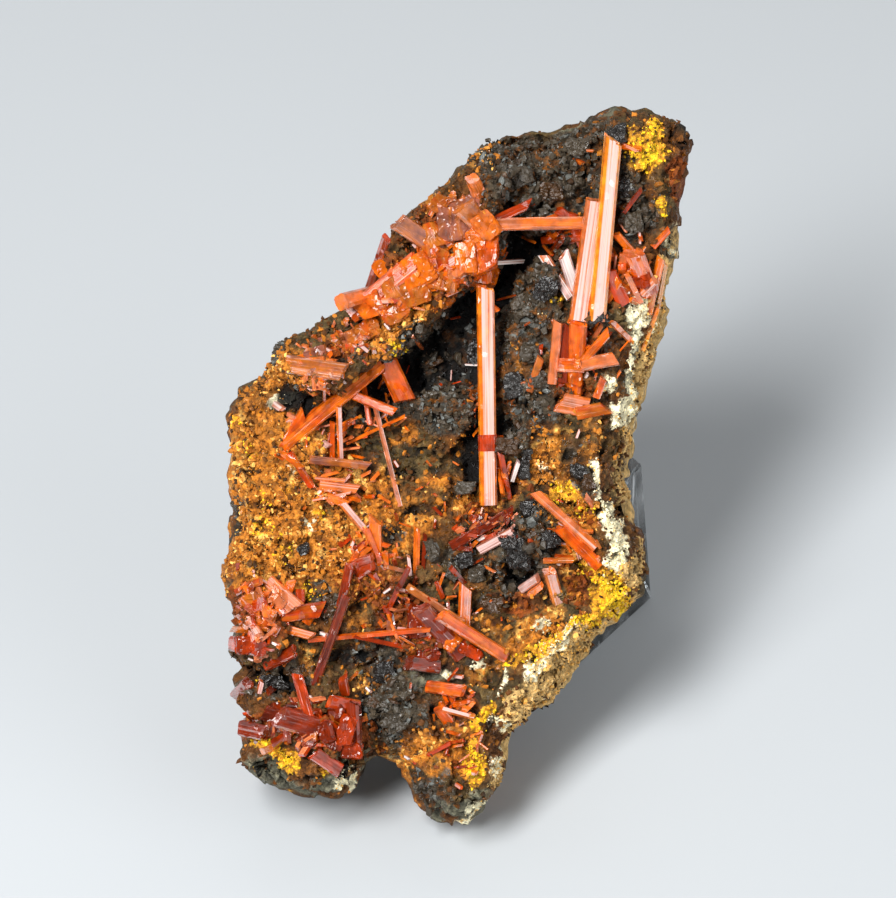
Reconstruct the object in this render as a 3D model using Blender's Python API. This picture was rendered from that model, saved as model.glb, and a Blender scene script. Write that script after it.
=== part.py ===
"""Crocoite specimen: a leaning slab of limonite gossan, the orange-red crocoite prisms that grew on its
face, and the clear block that props it up from behind. Millimetres in the tables, metres in the scene.

The face frame used by the tables: x runs across the face, y runs up it and w points out of it, towards
whoever looks at it squarely. The face leans back by LEAN from the vertical. Places in the tables are as they
are seen from VIEW_DISTANCE in front of VIEW_CENTRE, where what lies deeper looks smaller."""

import math

import bmesh
import bpy
import numpy as np
from mathutils import Matrix, Vector
from mathutils.bvhtree import BVHTree

# Driving dimensions, in millimetres and degrees.
MM = 0.001
LEAN = 40.0
VIEW_CENTRE = (-1.0, 52.6)
VIEW_DISTANCE = 629.0
SLAB_DEPTH = 19.5
DEEPEST = -9.0
GAP = 0.4
FOOT_FLAT = 0.5
ARCH_X = -10.4
EDGE_SETTLE = 1.2
LEAST_DEPTH = 4.0
BACK_EDGE_SINK = 0.6
BLOCK_RIGHT_CORNER = (29.9, 57.1)
BLOCK_FRONT = 20.0
BLOCK_WIDTH = 44.2
BLOCK_DEPTH = 31.8
BLOCK_DRAFT = 0.9
BLOCK_EDGE = 0.4
THIN = 1.05
BROAD = 1.95
CUT_CORNER = 0.22
GROOVE_WIDTH = 0.4
GROOVE_DEPTH = 0.07
FLAT_ANGLE = 1.0
SIGHT_HEIGHT = 50.0
ROCK_TRIANGLES = 4300
GRID_ACROSS = 124
GRID_UP = 184
SEED = 7

# The outline of the slab as it is seen squarely: its left and right edges as (y, x), and its bottom and
# top edges as (x, y).
LEFT_EDGE = [
    (9.5, -30.2), (13, -29.8), (16, -29.4), (18.5, -31), (20.5, -31), (22, -29.6), (24.5, -32),
    (27, -31.4), (29, -31.2), (32, -32), (35, -33), (38, -31.8), (41, -31.4), (45, -31.2), (49, -32),
    (52, -31.2), (56, -32.2), (59, -31.6), (61, -29.8), (63, -27.2), (65, -25.8), (67.5, -24.6),
    (69, -20.4), (71.3, -17.4), (73, -13), (77, -11), (81, -10), (84, -8), (86.5, -5), (88.3, -2.6),
    (90, -0.4), (92, 0.6),
]
RIGHT_EDGE = [
    (4.6, 5.3), (7, 6.5), (10, 7.5), (13, 8.1), (15, 9.5), (16.3, 11), (17, 13), (19, 14.6), (21, 16.4),
    (23.5, 18), (26.5, 20), (28.2, 21.5), (30.5, 24.6), (32.5, 26.1), (35, 27), (39, 26.8), (41.5, 25.8),
    (45, 24.2), (50, 24), (54, 25.1), (58, 25.8), (62, 27.2), (66, 28.1), (71, 29.6), (75, 29.8),
    (79, 30.7), (85, 31.3), (90, 32.4), (95, 33.2), (96.8, 32.2),
]
BOTTOM_EDGE = [
    (-30.2, 9.5), (-29.2, 7.4), (-27, 5.7), (-24, 4.7), (-21, 4), (-18, 3.3), (-15.4, 4), (-13.8, 5.4),
    (-12.8, 8), (-11, 9.4), (-8.6, 8.8), (-6.8, 6.6), (-5.4, 3.2), (-3.6, 1), (-1, 0), (1.6, 0.3),
    (3.8, 2), (5.3, 4.6),
]
TOP_EDGE = [
    (0.6, 92), (3, 94.4), (6, 95.9), (10, 96.8), (14, 97.5), (18, 98.5), (20.5, 99.8), (23.5, 100.6),
    (26.5, 100.1), (29.4, 99.2), (31.4, 97.8), (32.2, 96.8),
]

# How the face falls away to each edge: width of the bevel and its drop.
LEFT_BEVEL = (2.2, 7.5)
BOTTOM_BEVEL = (3.0, 8.0)
TOP_BEVEL = (2.6, 8.0)
BACK_ROUND = 7.0

# The wall on the right, as (y, width seen, drop).
RIGHT_WALL = [
    (4, 1.8, 7), (10, 3, 9), (14.5, 4.2, 10), (17.5, 6.6, 12), (21.5, 6.8, 13), (24.5, 6.6, 13),
    (27, 4.6, 12), (30, 4, 12), (33, 2.6, 10), (36, 3.2, 11), (42, 4, 12), (50, 3.4, 12), (54, 2.6, 11),
    (62, 2.8, 11), (71, 3.4, 12), (79, 1.8, 9), (88, 1.7, 9), (96, 1.7, 8),
]

# Terraces of the face: outline, height and width of the step round it.
RIDGE = (
    [(8, 92), (6.4, 87), (6.2, 79), (4.2, 76), (0.5, 74.6), (-1.6, 71), (-6, 66.8), (-9.5, 65),
     (-14.5, 62.4), (-19.6, 60.4), (-23, 62.5), (-27, 66), (-32, 76), (-14, 94), (0, 96)],
    5.0, 1.8,
)
CAVE = (
    [(-9.2, 65), (-1.6, 72), (2.4, 75.6), (6.4, 79.6), (7, 83.4), (13, 82.8), (13.4, 79.4), (9, 76),
     (7.4, 70), (5.4, 62), (-1, 61), (-7, 59), (-12.4, 57.6), (-13.6, 60.6)],
    -6.0, 3.0,
)
TERRACES = [RIDGE, CAVE]

# Lumps and hollows of the face: x, y, half width, half height, turn in degrees, height.
LUMPS = [
    (-25, 46, 9, 13, 0, 2.8),
    (1, 51, 12, 6, 0, -2.6),
    (-12, 54, 6, 4.5, 20, -2.2),
    (22, 39, 4, 8, 10, 2.4),
    (18, 33, 3.2, 3, 0, -3.0),
    (8.5, 39.5, 3, 2.4, 0, 2.8),
    (8.8, 35, 1.7, 1.4, 0, -4.0),
    (7.3, 52.8, 2.3, 1.3, -10, 2.4),
    (-24, 20.4, 4.6, 2.3, 0, -3.4),
    (-27, 28, 5, 5, 0, 1.4),
    (-21, 9, 7, 5, 0, 1.4),
    (-10.4, 12, 2.6, 4, 0, -3.4),
    (-7.4, 18, 4, 3.4, 0, 1.8),
    (-15, 23.8, 4.2, 2.4, 10, -3.0),
    (1, 9, 4, 5.4, -10, 2.0),
    (23.4, 98, 5, 4, 0, 2.2),
    (26.6, 95.6, 2.2, 2.3, 0, 2.0),
    (7, 98, 11, 4.4, 8, -6.0),
    (17.4, 91, 3.4, 4.4, 0, -2.4),
    (7, 90, 3, 2.4, 0, 1.6),
    (13, 88.4, 4, 2, 0, 1.2),
    (24, 72, 2.4, 3.2, 0, 1.8),
    (19, 71, 2.6, 1, 0, 2.0),
    (6.9, 58, 1.4, 3.6, 0, -2.4),
    (0.4, 58.8, 1.9, 1.3, 0, 2.2),
    (4.6, 55.6, 2.6, 5.6, 0, -2.6),
    (1, 47.4, 1.7, 1, 0, 1.4),
    (-3, 38.2, 1.2, 1.9, 25, 1.4),
    (20.4, 50.5, 1.6, 6, 8, 1.6),
    (-24.6, 66.6, 2, 1.6, 0, -2.0),
]

# Lumps and hollows of the back, in the same form. The positive ones make the slab thicker.
BACK_LUMPS = [
    (8, 33, 15, 7, 0, 2.6),
    (-22, 9, 8, 7, 0, 4.6),
    (0, 4, 6, 6, 0, 1.6),
    (-8, 52, 12, 8, 20, 2.2),
    (14, 60, 10, 9, 0, -2.0),
    (22, 86, 10, 14, 0, -5.0),
    (2, 84, 8, 7, 0, 1.6),
    (-12, 70, 9, 9, 0, -3.6),
    (-28, 38, 6, 16, 0, -3.0),
    (-14, 26, 7, 6, 0, -1.6),
]

# Crags: cell size and step height of the broken facets, then wavelength and height of the roll.
FACE_CRAGS = (4.6, 1.15)
BACK_CRAGS = (7.5, 1.5)
ROLL = (9.0, 0.9)

# The crystals: name, foot and tip as (x, y, height over the face), width and depth, spin in degrees,
# grooves on the broad side, and the slopes of the cut that ends it. Those that meet are one solid, which
# takes the name of the first of them.
CRYSTALS = [
    ("tall_prism", (19.8, 70.6, 0.2), (22.15, 96.2, 2.6), (2.3, 2.2), 28, 3, (0.5, 0.2)),
    ("tall_prism_twin", (17.3, 70.6, 1.4), (19.75, 87.6, 3.0), (2.7, 1.9), 12, 4, (0.1, 0.3)),
    ("tall_prism_splinter", (16.0, 70.2, 1.2), (17.4, 74.2, 1.6), (0.7, 0.6), 0, 0, (0.9, 0)),
    ("cross_bar", (4.6, 84.1, 0.2), (19.4, 84.3, 2.0), (1.75, 1.5), -12, 0, (0.2, 0)),
    ("cross_bar_rear", (12.4, 81.9, 1.2), (17.8, 82.2, 1.8), (1.1, 1.0), 15, 0, (0.3, 0)),
    ("cross_bar_red", (18.6, 80.2, 0.0), (16.6, 84.4, 1.4), (1.9, 1.5), 10, 0, (0.4, 0)),
    ("cross_bar_knob", (16.8, 84.2, 0.2), (14.4, 86.2, 1.2), (1.3, 1.2), 20, 0, (0.4, 0.2)),
    ("spear_left", (5.4, 84.6, 0.4), (10.4, 86.9, 2.2), (1.3, 0.9), -10, 0, (1.2, 0)),
    ("stub_dark_face", (13.3, 80.0, -0.6), (15.1, 82.2, 2.0), (0.9, 0.8), 10, 0, (0.5, 0)),
    ("hollow_blade", (16.3, 73.8, 0.3), (12.5, 79.7, 2.6), (1.4, 1.0), -16, 0, (0.7, 0)),
    ("hollow_blade_right", (17.0, 74.4, -0.3), (15.2, 79.9, 2.2), (1.7, 0.9), 14, 0, (-0.6, 0)),
    ("white_needle_upper", (3.8, 78.6, -0.6), (9.5, 79.0, 2.2), (0.7, 0.7), 0, 0, (0.4, 0)),
    ("link_to_yellow", (22.6, 95.2, 0.2), (26.2, 94.7, 0.2), (0.8, 0.7), 10, 0, (0, 0)),
    ("sliver_right", (23.5, 85.6, -0.4), (26.1, 89.0, 1.6), (0.7, 0.6), 0, 0, (0.6, 0)),
    ("rim_rod", (27.7, 80.9, -0.6), (30.0, 83.4, 2.2), (1.0, 0.9), 10, 0, (0.5, 0)),
    ("right_group_rod", (25.8, 79.2, 0.2), (22.5, 82.8, 1.8), (1.1, 1.0), -10, 0, (0.5, 0)),
    ("right_group_block", (27.2, 74.6, -0.4), (25.0, 80.2, 2.4), (2.7, 2.0), 15, 0, (0.4, 0.2)),
    ("right_group_stub", (26.0, 73.2, -0.2), (24.1, 77.0, 2.6), (1.0, 0.9), -12, 0, (0.4, 0)),
    ("right_group_cube", (26.2, 74.5, 0.4), (28.0, 76.3, 2.0), (1.2, 1.2), 10, 0, (0.2, 0)),
    ("right_group_red", (23.6, 73.0, -0.5), (21.4, 77.6, 1.4), (2.1, 1.6), 20, 0, (0.4, 0)),
    ("rim_strip", (27.0, 71.6, -0.8), (28.9, 79.4, 0.8), (1.2, 0.9), 30, 0, (0.6, 0)),
    ("fan_core", (16.7, 60.4, -0.4), (17.3, 70.4, 2.6), (2.3, 1.8), -20, 0, (0.3, 0.1)),
    ("fan_left_rod", (13.6, 61.8, 0.0), (14.4, 70.5, 2.2), (1.3, 1.1), 12, 0, (0.5, 0)),
    ("fan_red_rod", (15.2, 62.0, 0.2), (15.7, 70.1, 1.8), (1.7, 1.2), -14, 0, (0.3, 0)),
    ("fan_cross_block", (18.0, 64.2, 0.4), (14.4, 64.4, 1.6), (1.9, 1.4), 10, 0, (0.2, 0)),
    ("fan_right_spear", (17.6, 64.6, 0.6), (21.5, 69.0, 2.4), (1.2, 1.0), 14, 0, (0.8, 0)),
    ("fan_right_block", (17.6, 64.4, 0.6), (22.5, 65.3, 2.2), (1.9, 1.4), -10, 0, (-0.4, 0)),
    ("fan_low_stub", (19.8, 59.9, -0.4), (20.8, 62.5, 1.4), (1.1, 0.9), 10, 0, (0.4, 0)),
    ("fan_plate", (18.6, 58.4, -0.6), (14.6, 59.2, 1.8), (2.9, 0.9), -16, 0, (0.5, 0)),
    ("fan_plate_red", (17.0, 57.6, 0.1), (21.2, 58.4, 1.6), (1.9, 0.9), 20, 0, (-0.8, 0)),
    ("left_of_fan", (10.4, 60.8, -0.6), (12.0, 65.4, 1.6), (1.1, 0.9), 10, 0, (0.5, 0)),
    ("rim_splinter", (24.6, 67.8, -0.6), (21.9, 70.5, 1.4), (0.9, 0.7), 0, 0, (0.8, 0)),
    ("long_prism", (4.65, 44.8, 0.2), (4.25, 75.4, 7.6), (2.35, 2.1), 20, 4, (0.3, 0.2)),
    ("long_prism_side_rod", (7.6, 45.6, -0.4), (6.4, 52.0, 1.8), (0.8, 0.7), 10, 0, (0.8, 0)),
    ("white_tooth", (8.0, 48.2, -0.4), (8.9, 50.9, 1.6), (0.7, 0.7), 0, 0, (0.8, 0)),
    ("diagonal_rod", (-24.0, 53.2, -1.0), (-10.1, 64.9, -0.6), (2.1, 1.8), -8, 0, (0.3, 0)),
    ("diagonal_blade", (-24.8, 51.4, -0.8), (-21.2, 57.4, 1.4), (1.8, 1.0), 20, 0, (0.9, 0)),
    ("diagonal_tail", (-23.2, 52.2, 0.0), (-20.0, 47.2, 0.8), (1.0, 0.8), 10, 0, (0.6, 0)),
    ("white_upright", (-16.0, 50.6, -0.5), (-16.3, 58.6, 3.4), (0.75, 0.7), 14, 0, (0.3, 0)),
    ("orange_upright", (-17.2, 50.6, -0.6), (-17.2, 56.4, 2.0), (0.9, 0.8), -14, 0, (0.3, 0)),
    ("long_needle", (-7.7, 44.6, -0.8), (-11.1, 58.2, 3.6), (0.62, 0.6), 16, 0, (0.4, 0)),
    ("thin_needle", (-15.2, 53.4, 0.2), (-7.0, 57.3, 0.8), (0.5, 0.45), 0, 0, (0.3, 0)),
    ("cave_block", (-9.6, 65.0, -0.6), (-7.0, 59.4, 3.8), (2.8, 1.9), -14, 0, (0.3, 0.2)),
    ("lattice_rod", (-14.2, 60.2, 0.6), (-8.4, 57.8, 2.8), (1.3, 1.0), 10, 0, (0.3, 0)),
    ("lattice_strut", (-12.8, 61.4, 0.8), (-11.9, 56.0, 1.2), (0.8, 0.7), 0, 0, (0.3, 0)),
    ("brown_blade", (-20.4, 51.2, -0.3), (-12.2, 50.3, 1.2), (1.2, 0.8), 12, 0, (0.7, 0)),
    ("pink_plate_upper", (-19.0, 47.6, 0.0), (-13.6, 47.0, 1.4), (1.3, 0.7), -16, 0, (0.6, 0)),
    ("pink_plate_lower", (-19.2, 46.6, -0.5), (-15.2, 44.9, 1.0), (1.2, 0.7), 12, 0, (0.5, 0)),
    ("pink_rod", (-12.3, 40.9, -0.6), (-15.8, 45.0, 1.6), (1.0, 0.8), 12, 0, (0.4, 0)),
    ("flame_blade", (-10.9, 34.6, -0.8), (-11.2, 42.8, 2.8), (1.7, 1.0), -16, 0, (0.9, 0)),
    ("flame_side", (-10.4, 36.4, 0.2), (-12.5, 41.6, 2.0), (0.9, 0.7), 10, 0, (0.7, 0)),
    ("flame_spur", (-11.0, 39.6, 0.8), (-9.2, 39.0, 1.6), (0.7, 0.6), 0, 0, (0.6, 0)),
    ("red_chunk", (-14.9, 36.2, -0.6), (-11.6, 37.5, 2.2), (1.2, 1.0), 10, 0, (0.3, 0)),
    ("red_chunk_low", (-14.0, 34.8, -0.7), (-11.6, 36.6, 1.4), (1.7, 1.3), -15, 0, (0.4, 0)),
    ("slant_rod", (-19.7, 19.6, -0.6), (-15.2, 32.2, 2.0), (1.3, 1.1), 12, 0, (0.3, 0)),
    ("slant_rod_top", (-16.0, 30.6, 0.6), (-14.8, 36.2, 1.8), (1.3, 1.0), -14, 0, (0.5, 0)),
    ("level_rod", (-20.6, 25.9, 0.2), (-3.4, 27.4, 1.6), (0.75, 0.7), 10, 0, (0.3, 0)),
    ("level_rod_low", (-6.4, 24.7, -0.2), (-14.2, 26.4, 1.6), (0.8, 0.7), -10, 0, (0.5, 0)),
    ("centre_upright", (-5.5, 33.8, -0.7), (-5.3, 41.6, 2.6), (0.9, 0.8), 14, 0, (0.5, 0)),
    ("centre_upright_side", (-4.6, 34.6, -0.6), (-4.2, 40.8, 1.4), (0.7, 0.6), -10, 0, (0.6, 0)),
    ("centre_left_rod", (-9.4, 30.2, -0.5), (-6.5, 36.0, 2.2), (1.0, 0.9), -12, 0, (0.3, 0)),
    ("plum_rod", (-6.7, 33.4, 0.2), (1.0, 28.3, 2.6), (1.1, 1.0), 10, 0, (0.3, 0)),
    ("white_spike", (1.2, 27.0, -0.6), (1.5, 33.4, 3.4), (1.7, 1.5), 28, 0, (1.0, 0)),
    ("sheaf_front", (7.0, 23.6, -0.6), (-2.1, 29.4, 3.4), (1.9, 1.5), 10, 0, (0.4, 0.1)),
    ("sheaf_rear", (1.0, 23.8, -0.4), (-4.9, 30.4, 2.6), (2.6, 1.7), -12, 0, (0.3, 0.1)),
    ("low_right_rod", (19.8, 38.8, -0.5), (11.2, 46.5, 2.0), (1.4, 1.2), 14, 0, (0.6, 0)),
    ("low_right_rod_wide", (20.3, 36.2, -0.5), (14.8, 41.6, 1.6), (1.8, 1.3), -10, 0, (0.6, 0)),
    ("pink_block", (14.4, 31.4, -0.5), (13.2, 35.6, 1.8), (1.8, 1.5), 12, 0, (0.3, 0.2)),
    ("amber_rods", (12.4, 37.0, -0.4), (16.7, 37.1, 2.2), (0.9, 0.8), 0, 0, (0.4, 0)),
    ("rust_blade", (-0.6, 39.0, 0.2), (8.1, 43.9, 1.2), (1.4, 0.9), 10, 0, (0.7, 0)),
    ("rust_plates", (3.4, 38.5, 0.2), (8.2, 41.1, 1.8), (1.5, 0.8), 14, 0, (0.4, 0)),
    ("left_plate", (-26.4, 33.8, -0.5), (-22.4, 30.2, 2.0), (2.9, 1.0), 16, 0, (0.4, 0)),
    ("left_upper_rod", (-30.6, 32.6, 0.2), (-27.2, 34.2, 1.6), (1.1, 1.0), -10, 0, (0.4, 0)),
    ("left_tan_rod", (-27.7, 33.2, 0.0), (-26.3, 29.0, 1.6), (1.0, 0.8), 12, 0, (0.4, 0)),
    ("left_pink_block", (-30.0, 30.0, -0.5), (-26.9, 31.0, 1.6), (1.9, 1.4), 10, 0, (0.2, 0.1)),
    ("left_white_face", (-28.8, 28.8, -0.4), (-27.4, 26.6, 1.8), (1.2, 1.0), 14, 0, (0.5, 0)),
    ("left_red_lump", (-31.2, 25.4, 0.2), (-27.0, 24.6, 2.2), (2.8, 2.2), 12, 0, (0.3, 0.2)),
    ("left_thin_rod", (-27.9, 25.2, 0.6), (-25.0, 27.7, 2.2), (0.6, 0.5), 0, 0, (0.3, 0)),
    ("left_low_block", (-26.6, 22.4, -0.4), (-22.4, 24.4, 1.4), (1.8, 1.3), -12, 0, (0.3, 0)),
    ("left_amber_plate", (-24.4, 29.4, -0.4), (-18.6, 30.2, 1.4), (2.2, 0.9), 12, 0, (0.6, 0)),
    ("left_white_plate", (-23.6, 27.4, -0.4), (-20.0, 26.4, 1.8), (1.2, 0.8), -14, 0, (0.6, 0)),
    ("edge_knob", (-30.6, 18.2, -0.6), (-29.0, 19.8, 1.2), (1.8, 1.5), 10, 0, (0.3, 0)),
    ("foot_red_block", (-19.6, 13.6, -0.4), (-24.7, 15.2, 2.4), (3.1, 2.4), -14, 0, (0.3, 0.1)),
    ("foot_dark_block", (-24.0, 14.8, 0.0), (-27.0, 15.7, 1.4), (2.2, 1.8), 10, 0, (0.3, 0)),
    ("foot_upright", (-20.3, 14.4, 0.4), (-22.1, 21.0, 3.2), (1.5, 1.3), 14, 0, (0.4, 0.1)),
    ("foot_red_mass", (-13.6, 10.2, -0.4), (-19.2, 14.6, 2.2), (3.5, 2.6), -10, 0, (0.3, 0.1)),
    ("foot_red_wall", (-13.9, 9.6, -0.2), (-14.3, 17.2, 1.6), (2.0, 1.7), -18, 0, (0.2, 0)),
    ("foot_red_top", (-13.6, 16.5, 0.0), (-17.6, 17.3, 1.4), (1.9, 1.5), 10, 0, (0.3, 0)),
    ("foot_plate", (-16.2, 7.6, -0.6), (-19.8, 10.0, 1.4), (2.1, 0.9), 12, 0, (0.4, 0)),
    ("foot_left_red", (-30.0, 13.6, -0.6), (-26.4, 12.8, 1.6), (2.2, 1.6), 14, 0, (0.4, 0)),
    ("amber_prism", (-3.9, 19.4, -0.2), (1.2, 18.7, 1.6), (1.7, 1.4), 12, 0, (0.3, 0)),
    ("white_rod_low", (2.6, 15.0, -0.4), (-1.8, 16.2, 2.0), (0.7, 0.7), 12, 0, (0.3, 0)),
    ("amber_block_low", (-0.8, 14.4, -0.5), (-2.2, 16.4, 1.4), (1.7, 1.4), -12, 0, (0.2, 0)),
    ("maroon_block", (-2.4, 22.2, -0.6), (-6.6, 22.7, 1.2), (2.8, 2.2), 12, 0, (0.3, 0.2)),
    ("toe_needle", (-5.8, 8.7, 0.2), (-0.6, 11.5, 1.4), (0.65, 0.55), 0, 0, (0.4, 0)),
    ("ridge_plate", (-1.6, 80.2, -0.4), (-8.2, 84.6, 2.0), (2.7, 1.3), 12, 0, (0.3, 0)),
    ("ridge_left_blade", (-12.5, 73.6, -0.8), (-9.6, 82.2, 1.6), (1.3, 0.9), -20, 0, (0.5, 0)),
    ("ridge_slope_prism", (-14.6, 71.4, -0.4), (-5.4, 79.0, 1.6), (2.7, 1.7), -10, 0, (0.3, 0)),
    ("ridge_end_block", (-11.4, 74.4, -0.4), (-16.0, 73.2, 3.2), (2.3, 2.0), 14, 0, (0.1, 0)),
    ("ridge_orange_mass", (-3.6, 74.6, -0.6), (-4.6, 80.4, 1.4), (3.2, 2.2), 10, 0, (0.3, 0.1)),
    ("ridge_bright_mass", (3.6, 76.6, -0.4), (3.9, 84.2, 1.8), (4.0, 2.6), -12, 0, (0.1, 0.1)),
    ("ridge_plum_mass", (4.4, 83.4, -0.6), (0.2, 87.6, 1.6), (4.4, 2.4), 14, 0, (0.2, 0.1)),
    ("ridge_pink_plate", (4.8, 75.3, 0.4), (0.6, 77.6, 1.8), (2.0, 1.2), -12, 0, (0.4, 0)),
    ("ridge_amber_stub", (-0.6, 74.8, -0.3), (-0.4, 78.0, 1.4), (1.5, 1.2), 12, 0, (0.3, 0)),
    ("ridge_pink_stub", (3.6, 88.2, -0.6), (2.4, 90.6, 2.4), (1.8, 1.5), 14, 0, (0.3, 0.2)),
    ("ridge_low_plate", (-23.6, 64.6, -0.4), (-15.4, 63.4, 1.2), (2.6, 1.2), 12, 0, (0.4, 0)),
    ("ridge_low_tongue", (-19.4, 65.6, 0.6), (-19.0, 60.8, 1.4), (2.1, 1.3), -10, 0, (0.2, 0)),
]

ROCK_COLOUR = (0.20, 0.11, 0.035)
CROCOITE_COLOUR = (0.80, 0.11, 0.015)
CLEAR_COLOUR = (0.93, 0.96, 0.97)


def clear_scene():
    """Removes whatever objects the scene starts with."""
    for obj in list(bpy.data.objects):
        bpy.data.objects.remove(obj, do_unlink=True)


def material(name, colour, roughness, transmission=0.0, ior=1.5):
    """A Principled material with one colour."""
    made = bpy.data.materials.new(name)
    made.use_nodes = True
    shader = made.node_tree.nodes["Principled BSDF"]
    shader.inputs["Base Color"].default_value = (*colour, 1.0)
    shader.inputs["Roughness"].default_value = roughness
    shader.inputs["Metallic"].default_value = 0.0
    shader.inputs["Transmission Weight"].default_value = transmission
    shader.inputs["IOR"].default_value = ior
    return made


def to_world(points):
    """Points as seen in the face frame, in millimetres, as points of the scene, in metres: spread about the
    centre of view by their depth, and turned back with the face."""
    points = np.asarray(points, float)
    w = points[..., 2]
    spread = 1 - w / VIEW_DISTANCE
    x = VIEW_CENTRE[0] + (points[..., 0] - VIEW_CENTRE[0]) * spread
    y = VIEW_CENTRE[1] + (points[..., 1] - VIEW_CENTRE[1]) * spread
    sine, cosine = math.sin(math.radians(LEAN)), math.cos(math.radians(LEAN))
    return np.stack([x, y * sine - w * cosine, y * cosine + w * sine], axis=-1) * MM


def smooth_step(value):
    """0 below 0, 1 above 1, and a smooth rise between them."""
    value = np.clip(value, 0, 1)
    return value * value * (3 - 2 * value)


def lattice_values(cells, seed):
    """A fixed random number from 0 to 1 for each whole-numbered cell, by an integer hash."""
    mixed = seed * 1013
    for axis, prime in enumerate((73856093, 19349663, 83492791)):
        if axis < len(cells):
            mixed = mixed ^ (cells[axis].astype(np.int64) * prime)
    mixed = (mixed ^ (mixed >> 13)) * 1274126177
    mixed = mixed ^ (mixed >> 16)
    return (mixed & 0xFFFFF) / float(0xFFFFF)


def roll_noise(x, y, wavelength, seed):
    """Smooth noise from -1 to 1: the random corners of a square lattice, blended across each square."""
    u, v = x / wavelength, y / wavelength
    i, j = np.floor(u), np.floor(v)
    a, b = smooth_step(u - i), smooth_step(v - j)
    corner = {
        (p, q): lattice_values((i + p, j + q), seed) for p in (0, 1) for q in (0, 1)
    }
    low = corner[0, 0] * (1 - a) + corner[1, 0] * a
    high = corner[0, 1] * (1 - a) + corner[1, 1] * a
    return 2 * (low * (1 - b) + high * b) - 1


def crag_noise(points, cell, seed):
    """Broken facets from about -1 to 1: each point takes the tilted plane of the nearest of the seeds that
    are scattered one to a cell through space."""
    at = np.moveaxis(np.asarray(points, float) / cell, -1, 0)
    base = np.floor(at)
    nearest = np.full(at.shape[1:], 1e9)
    height = np.zeros(at.shape[1:])
    for step in np.ndindex(3, 3, 3):
        cells = [base[axis] + step[axis] - 1 for axis in range(3)]
        away = [at[axis] - cells[axis] - lattice_values(cells, seed + axis) for axis in range(3)]
        distance = sum(part * part for part in away)
        tilts = [1.6 * lattice_values(cells, seed + 3 + axis) - 0.8 for axis in range(3)]
        level = 1.4 * lattice_values(cells, seed + 6) - 0.7
        closer = distance < nearest
        nearest = np.where(closer, distance, nearest)
        plane = level + sum(tilt * part for tilt, part in zip(tilts, away))
        height = np.where(closer, plane, height)
    return height


def inside_by(x, y, outline):
    """Signed distance to a closed outline, positive inside it."""
    distance = np.full(np.shape(x), 1e9)
    inside = np.zeros(np.shape(x), bool)
    for (ax, ay), (bx, by) in zip(outline, outline[1:] + outline[:1]):
        ex, ey = bx - ax, by - ay
        share = np.clip(((x - ax) * ex + (y - ay) * ey) / (ex * ex + ey * ey), 0, 1)
        distance = np.minimum(distance, np.hypot(x - ax - share * ex, y - ay - share * ey))
        if ay != by:
            crosses = (ay > y) != (by > y)
            inside = inside ^ (crosses & (x < ax + (y - ay) * ex / ey))
    return np.where(inside, distance, -distance)


def lumps_at(x, y, lumps):
    """The sum of round-topped lumps, each a bell over a turned ellipse."""
    height = np.zeros(np.shape(x))
    for cx, cy, half_x, half_y, turn, rise in lumps:
        c, s = math.cos(math.radians(turn)), math.sin(math.radians(turn))
        u = ((x - cx) * c + (y - cy) * s) / half_x
        v = ((y - cy) * c - (x - cx) * s) / half_y
        height = height + rise * np.exp(-(u * u + v * v))
    return height


def face_height(x, y):
    """Height of the face without its crags: terraces and lumps."""
    height = lumps_at(x, y, LUMPS)
    for outline, rise, step in TERRACES:
        height = height + rise * smooth_step(inside_by(x, y, outline) / step + 0.5)
    return height


def edge_drop(inset, width, drop):
    """How far the face has fallen at a distance inset from an edge: a chamfer with an eased rim."""
    return drop * (1 - np.clip(inset / width, 0, 1)) ** 1.3


def along_edge(table, at):
    """An edge table read at the given places."""
    keys, values = np.array(table, float).T
    return np.interp(at, keys, values)


def outline_grid():
    """The slab's outline filled with a grid: across each row from the left edge to the right one, with the
    bottom and top edges' own shape fading out over the nearest rows. Returns x, y and the two parameters."""
    across = (1 - np.cos(np.linspace(0, math.pi, GRID_ACROSS + 1))) / 2 * 0.5
    across = across + 0.5 * np.linspace(0, 1, GRID_ACROSS + 1)
    up = (1 - np.cos(np.linspace(0, math.pi, GRID_UP + 1))) / 2 * 0.4
    up = up + 0.6 * np.linspace(0, 1, GRID_UP + 1)
    s, t = np.meshgrid(across, up)
    left_y = LEFT_EDGE[0][0] + t * (LEFT_EDGE[-1][0] - LEFT_EDGE[0][0])
    right_y = RIGHT_EDGE[0][0] + t * (RIGHT_EDGE[-1][0] - RIGHT_EDGE[0][0])
    x = (1 - s) * along_edge(LEFT_EDGE, left_y) + s * along_edge(RIGHT_EDGE, right_y)
    y = (1 - s) * left_y + s * right_y
    for table, fade in ((BOTTOM_EDGE, (1 - t) ** 5), (TOP_EDGE, t ** 5)):
        start, end = np.array(table[0], float), np.array(table[-1], float)
        edge_x = start[0] + s * (end[0] - start[0])
        straight = start[1] + s * (end[1] - start[1])
        y = y + fade * (along_edge(table, edge_x) - straight)
    return x, y, s, t


def insets(x, y, s, t):
    """Distance of each grid point from the four edges, in millimetres."""
    width = x[:, -1:] - x[:, :1]
    height = y[-1:, :] - y[:1, :]
    return s * width, (1 - s) * width, t * height, (1 - t) * height


def edge_drops(left, right, bottom, top, y):
    """The greatest of the falls to the four edges, given the distances from them."""
    wall_y, wall_width, wall_drop = np.array(RIGHT_WALL, float).T
    return np.maximum.reduce([
        edge_drop(left, *LEFT_BEVEL),
        edge_drop(right, np.interp(y, wall_y, wall_width), np.interp(y, wall_y, wall_drop)),
        edge_drop(bottom, *BOTTOM_BEVEL),
        edge_drop(top, *TOP_BEVEL),
    ])


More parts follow.
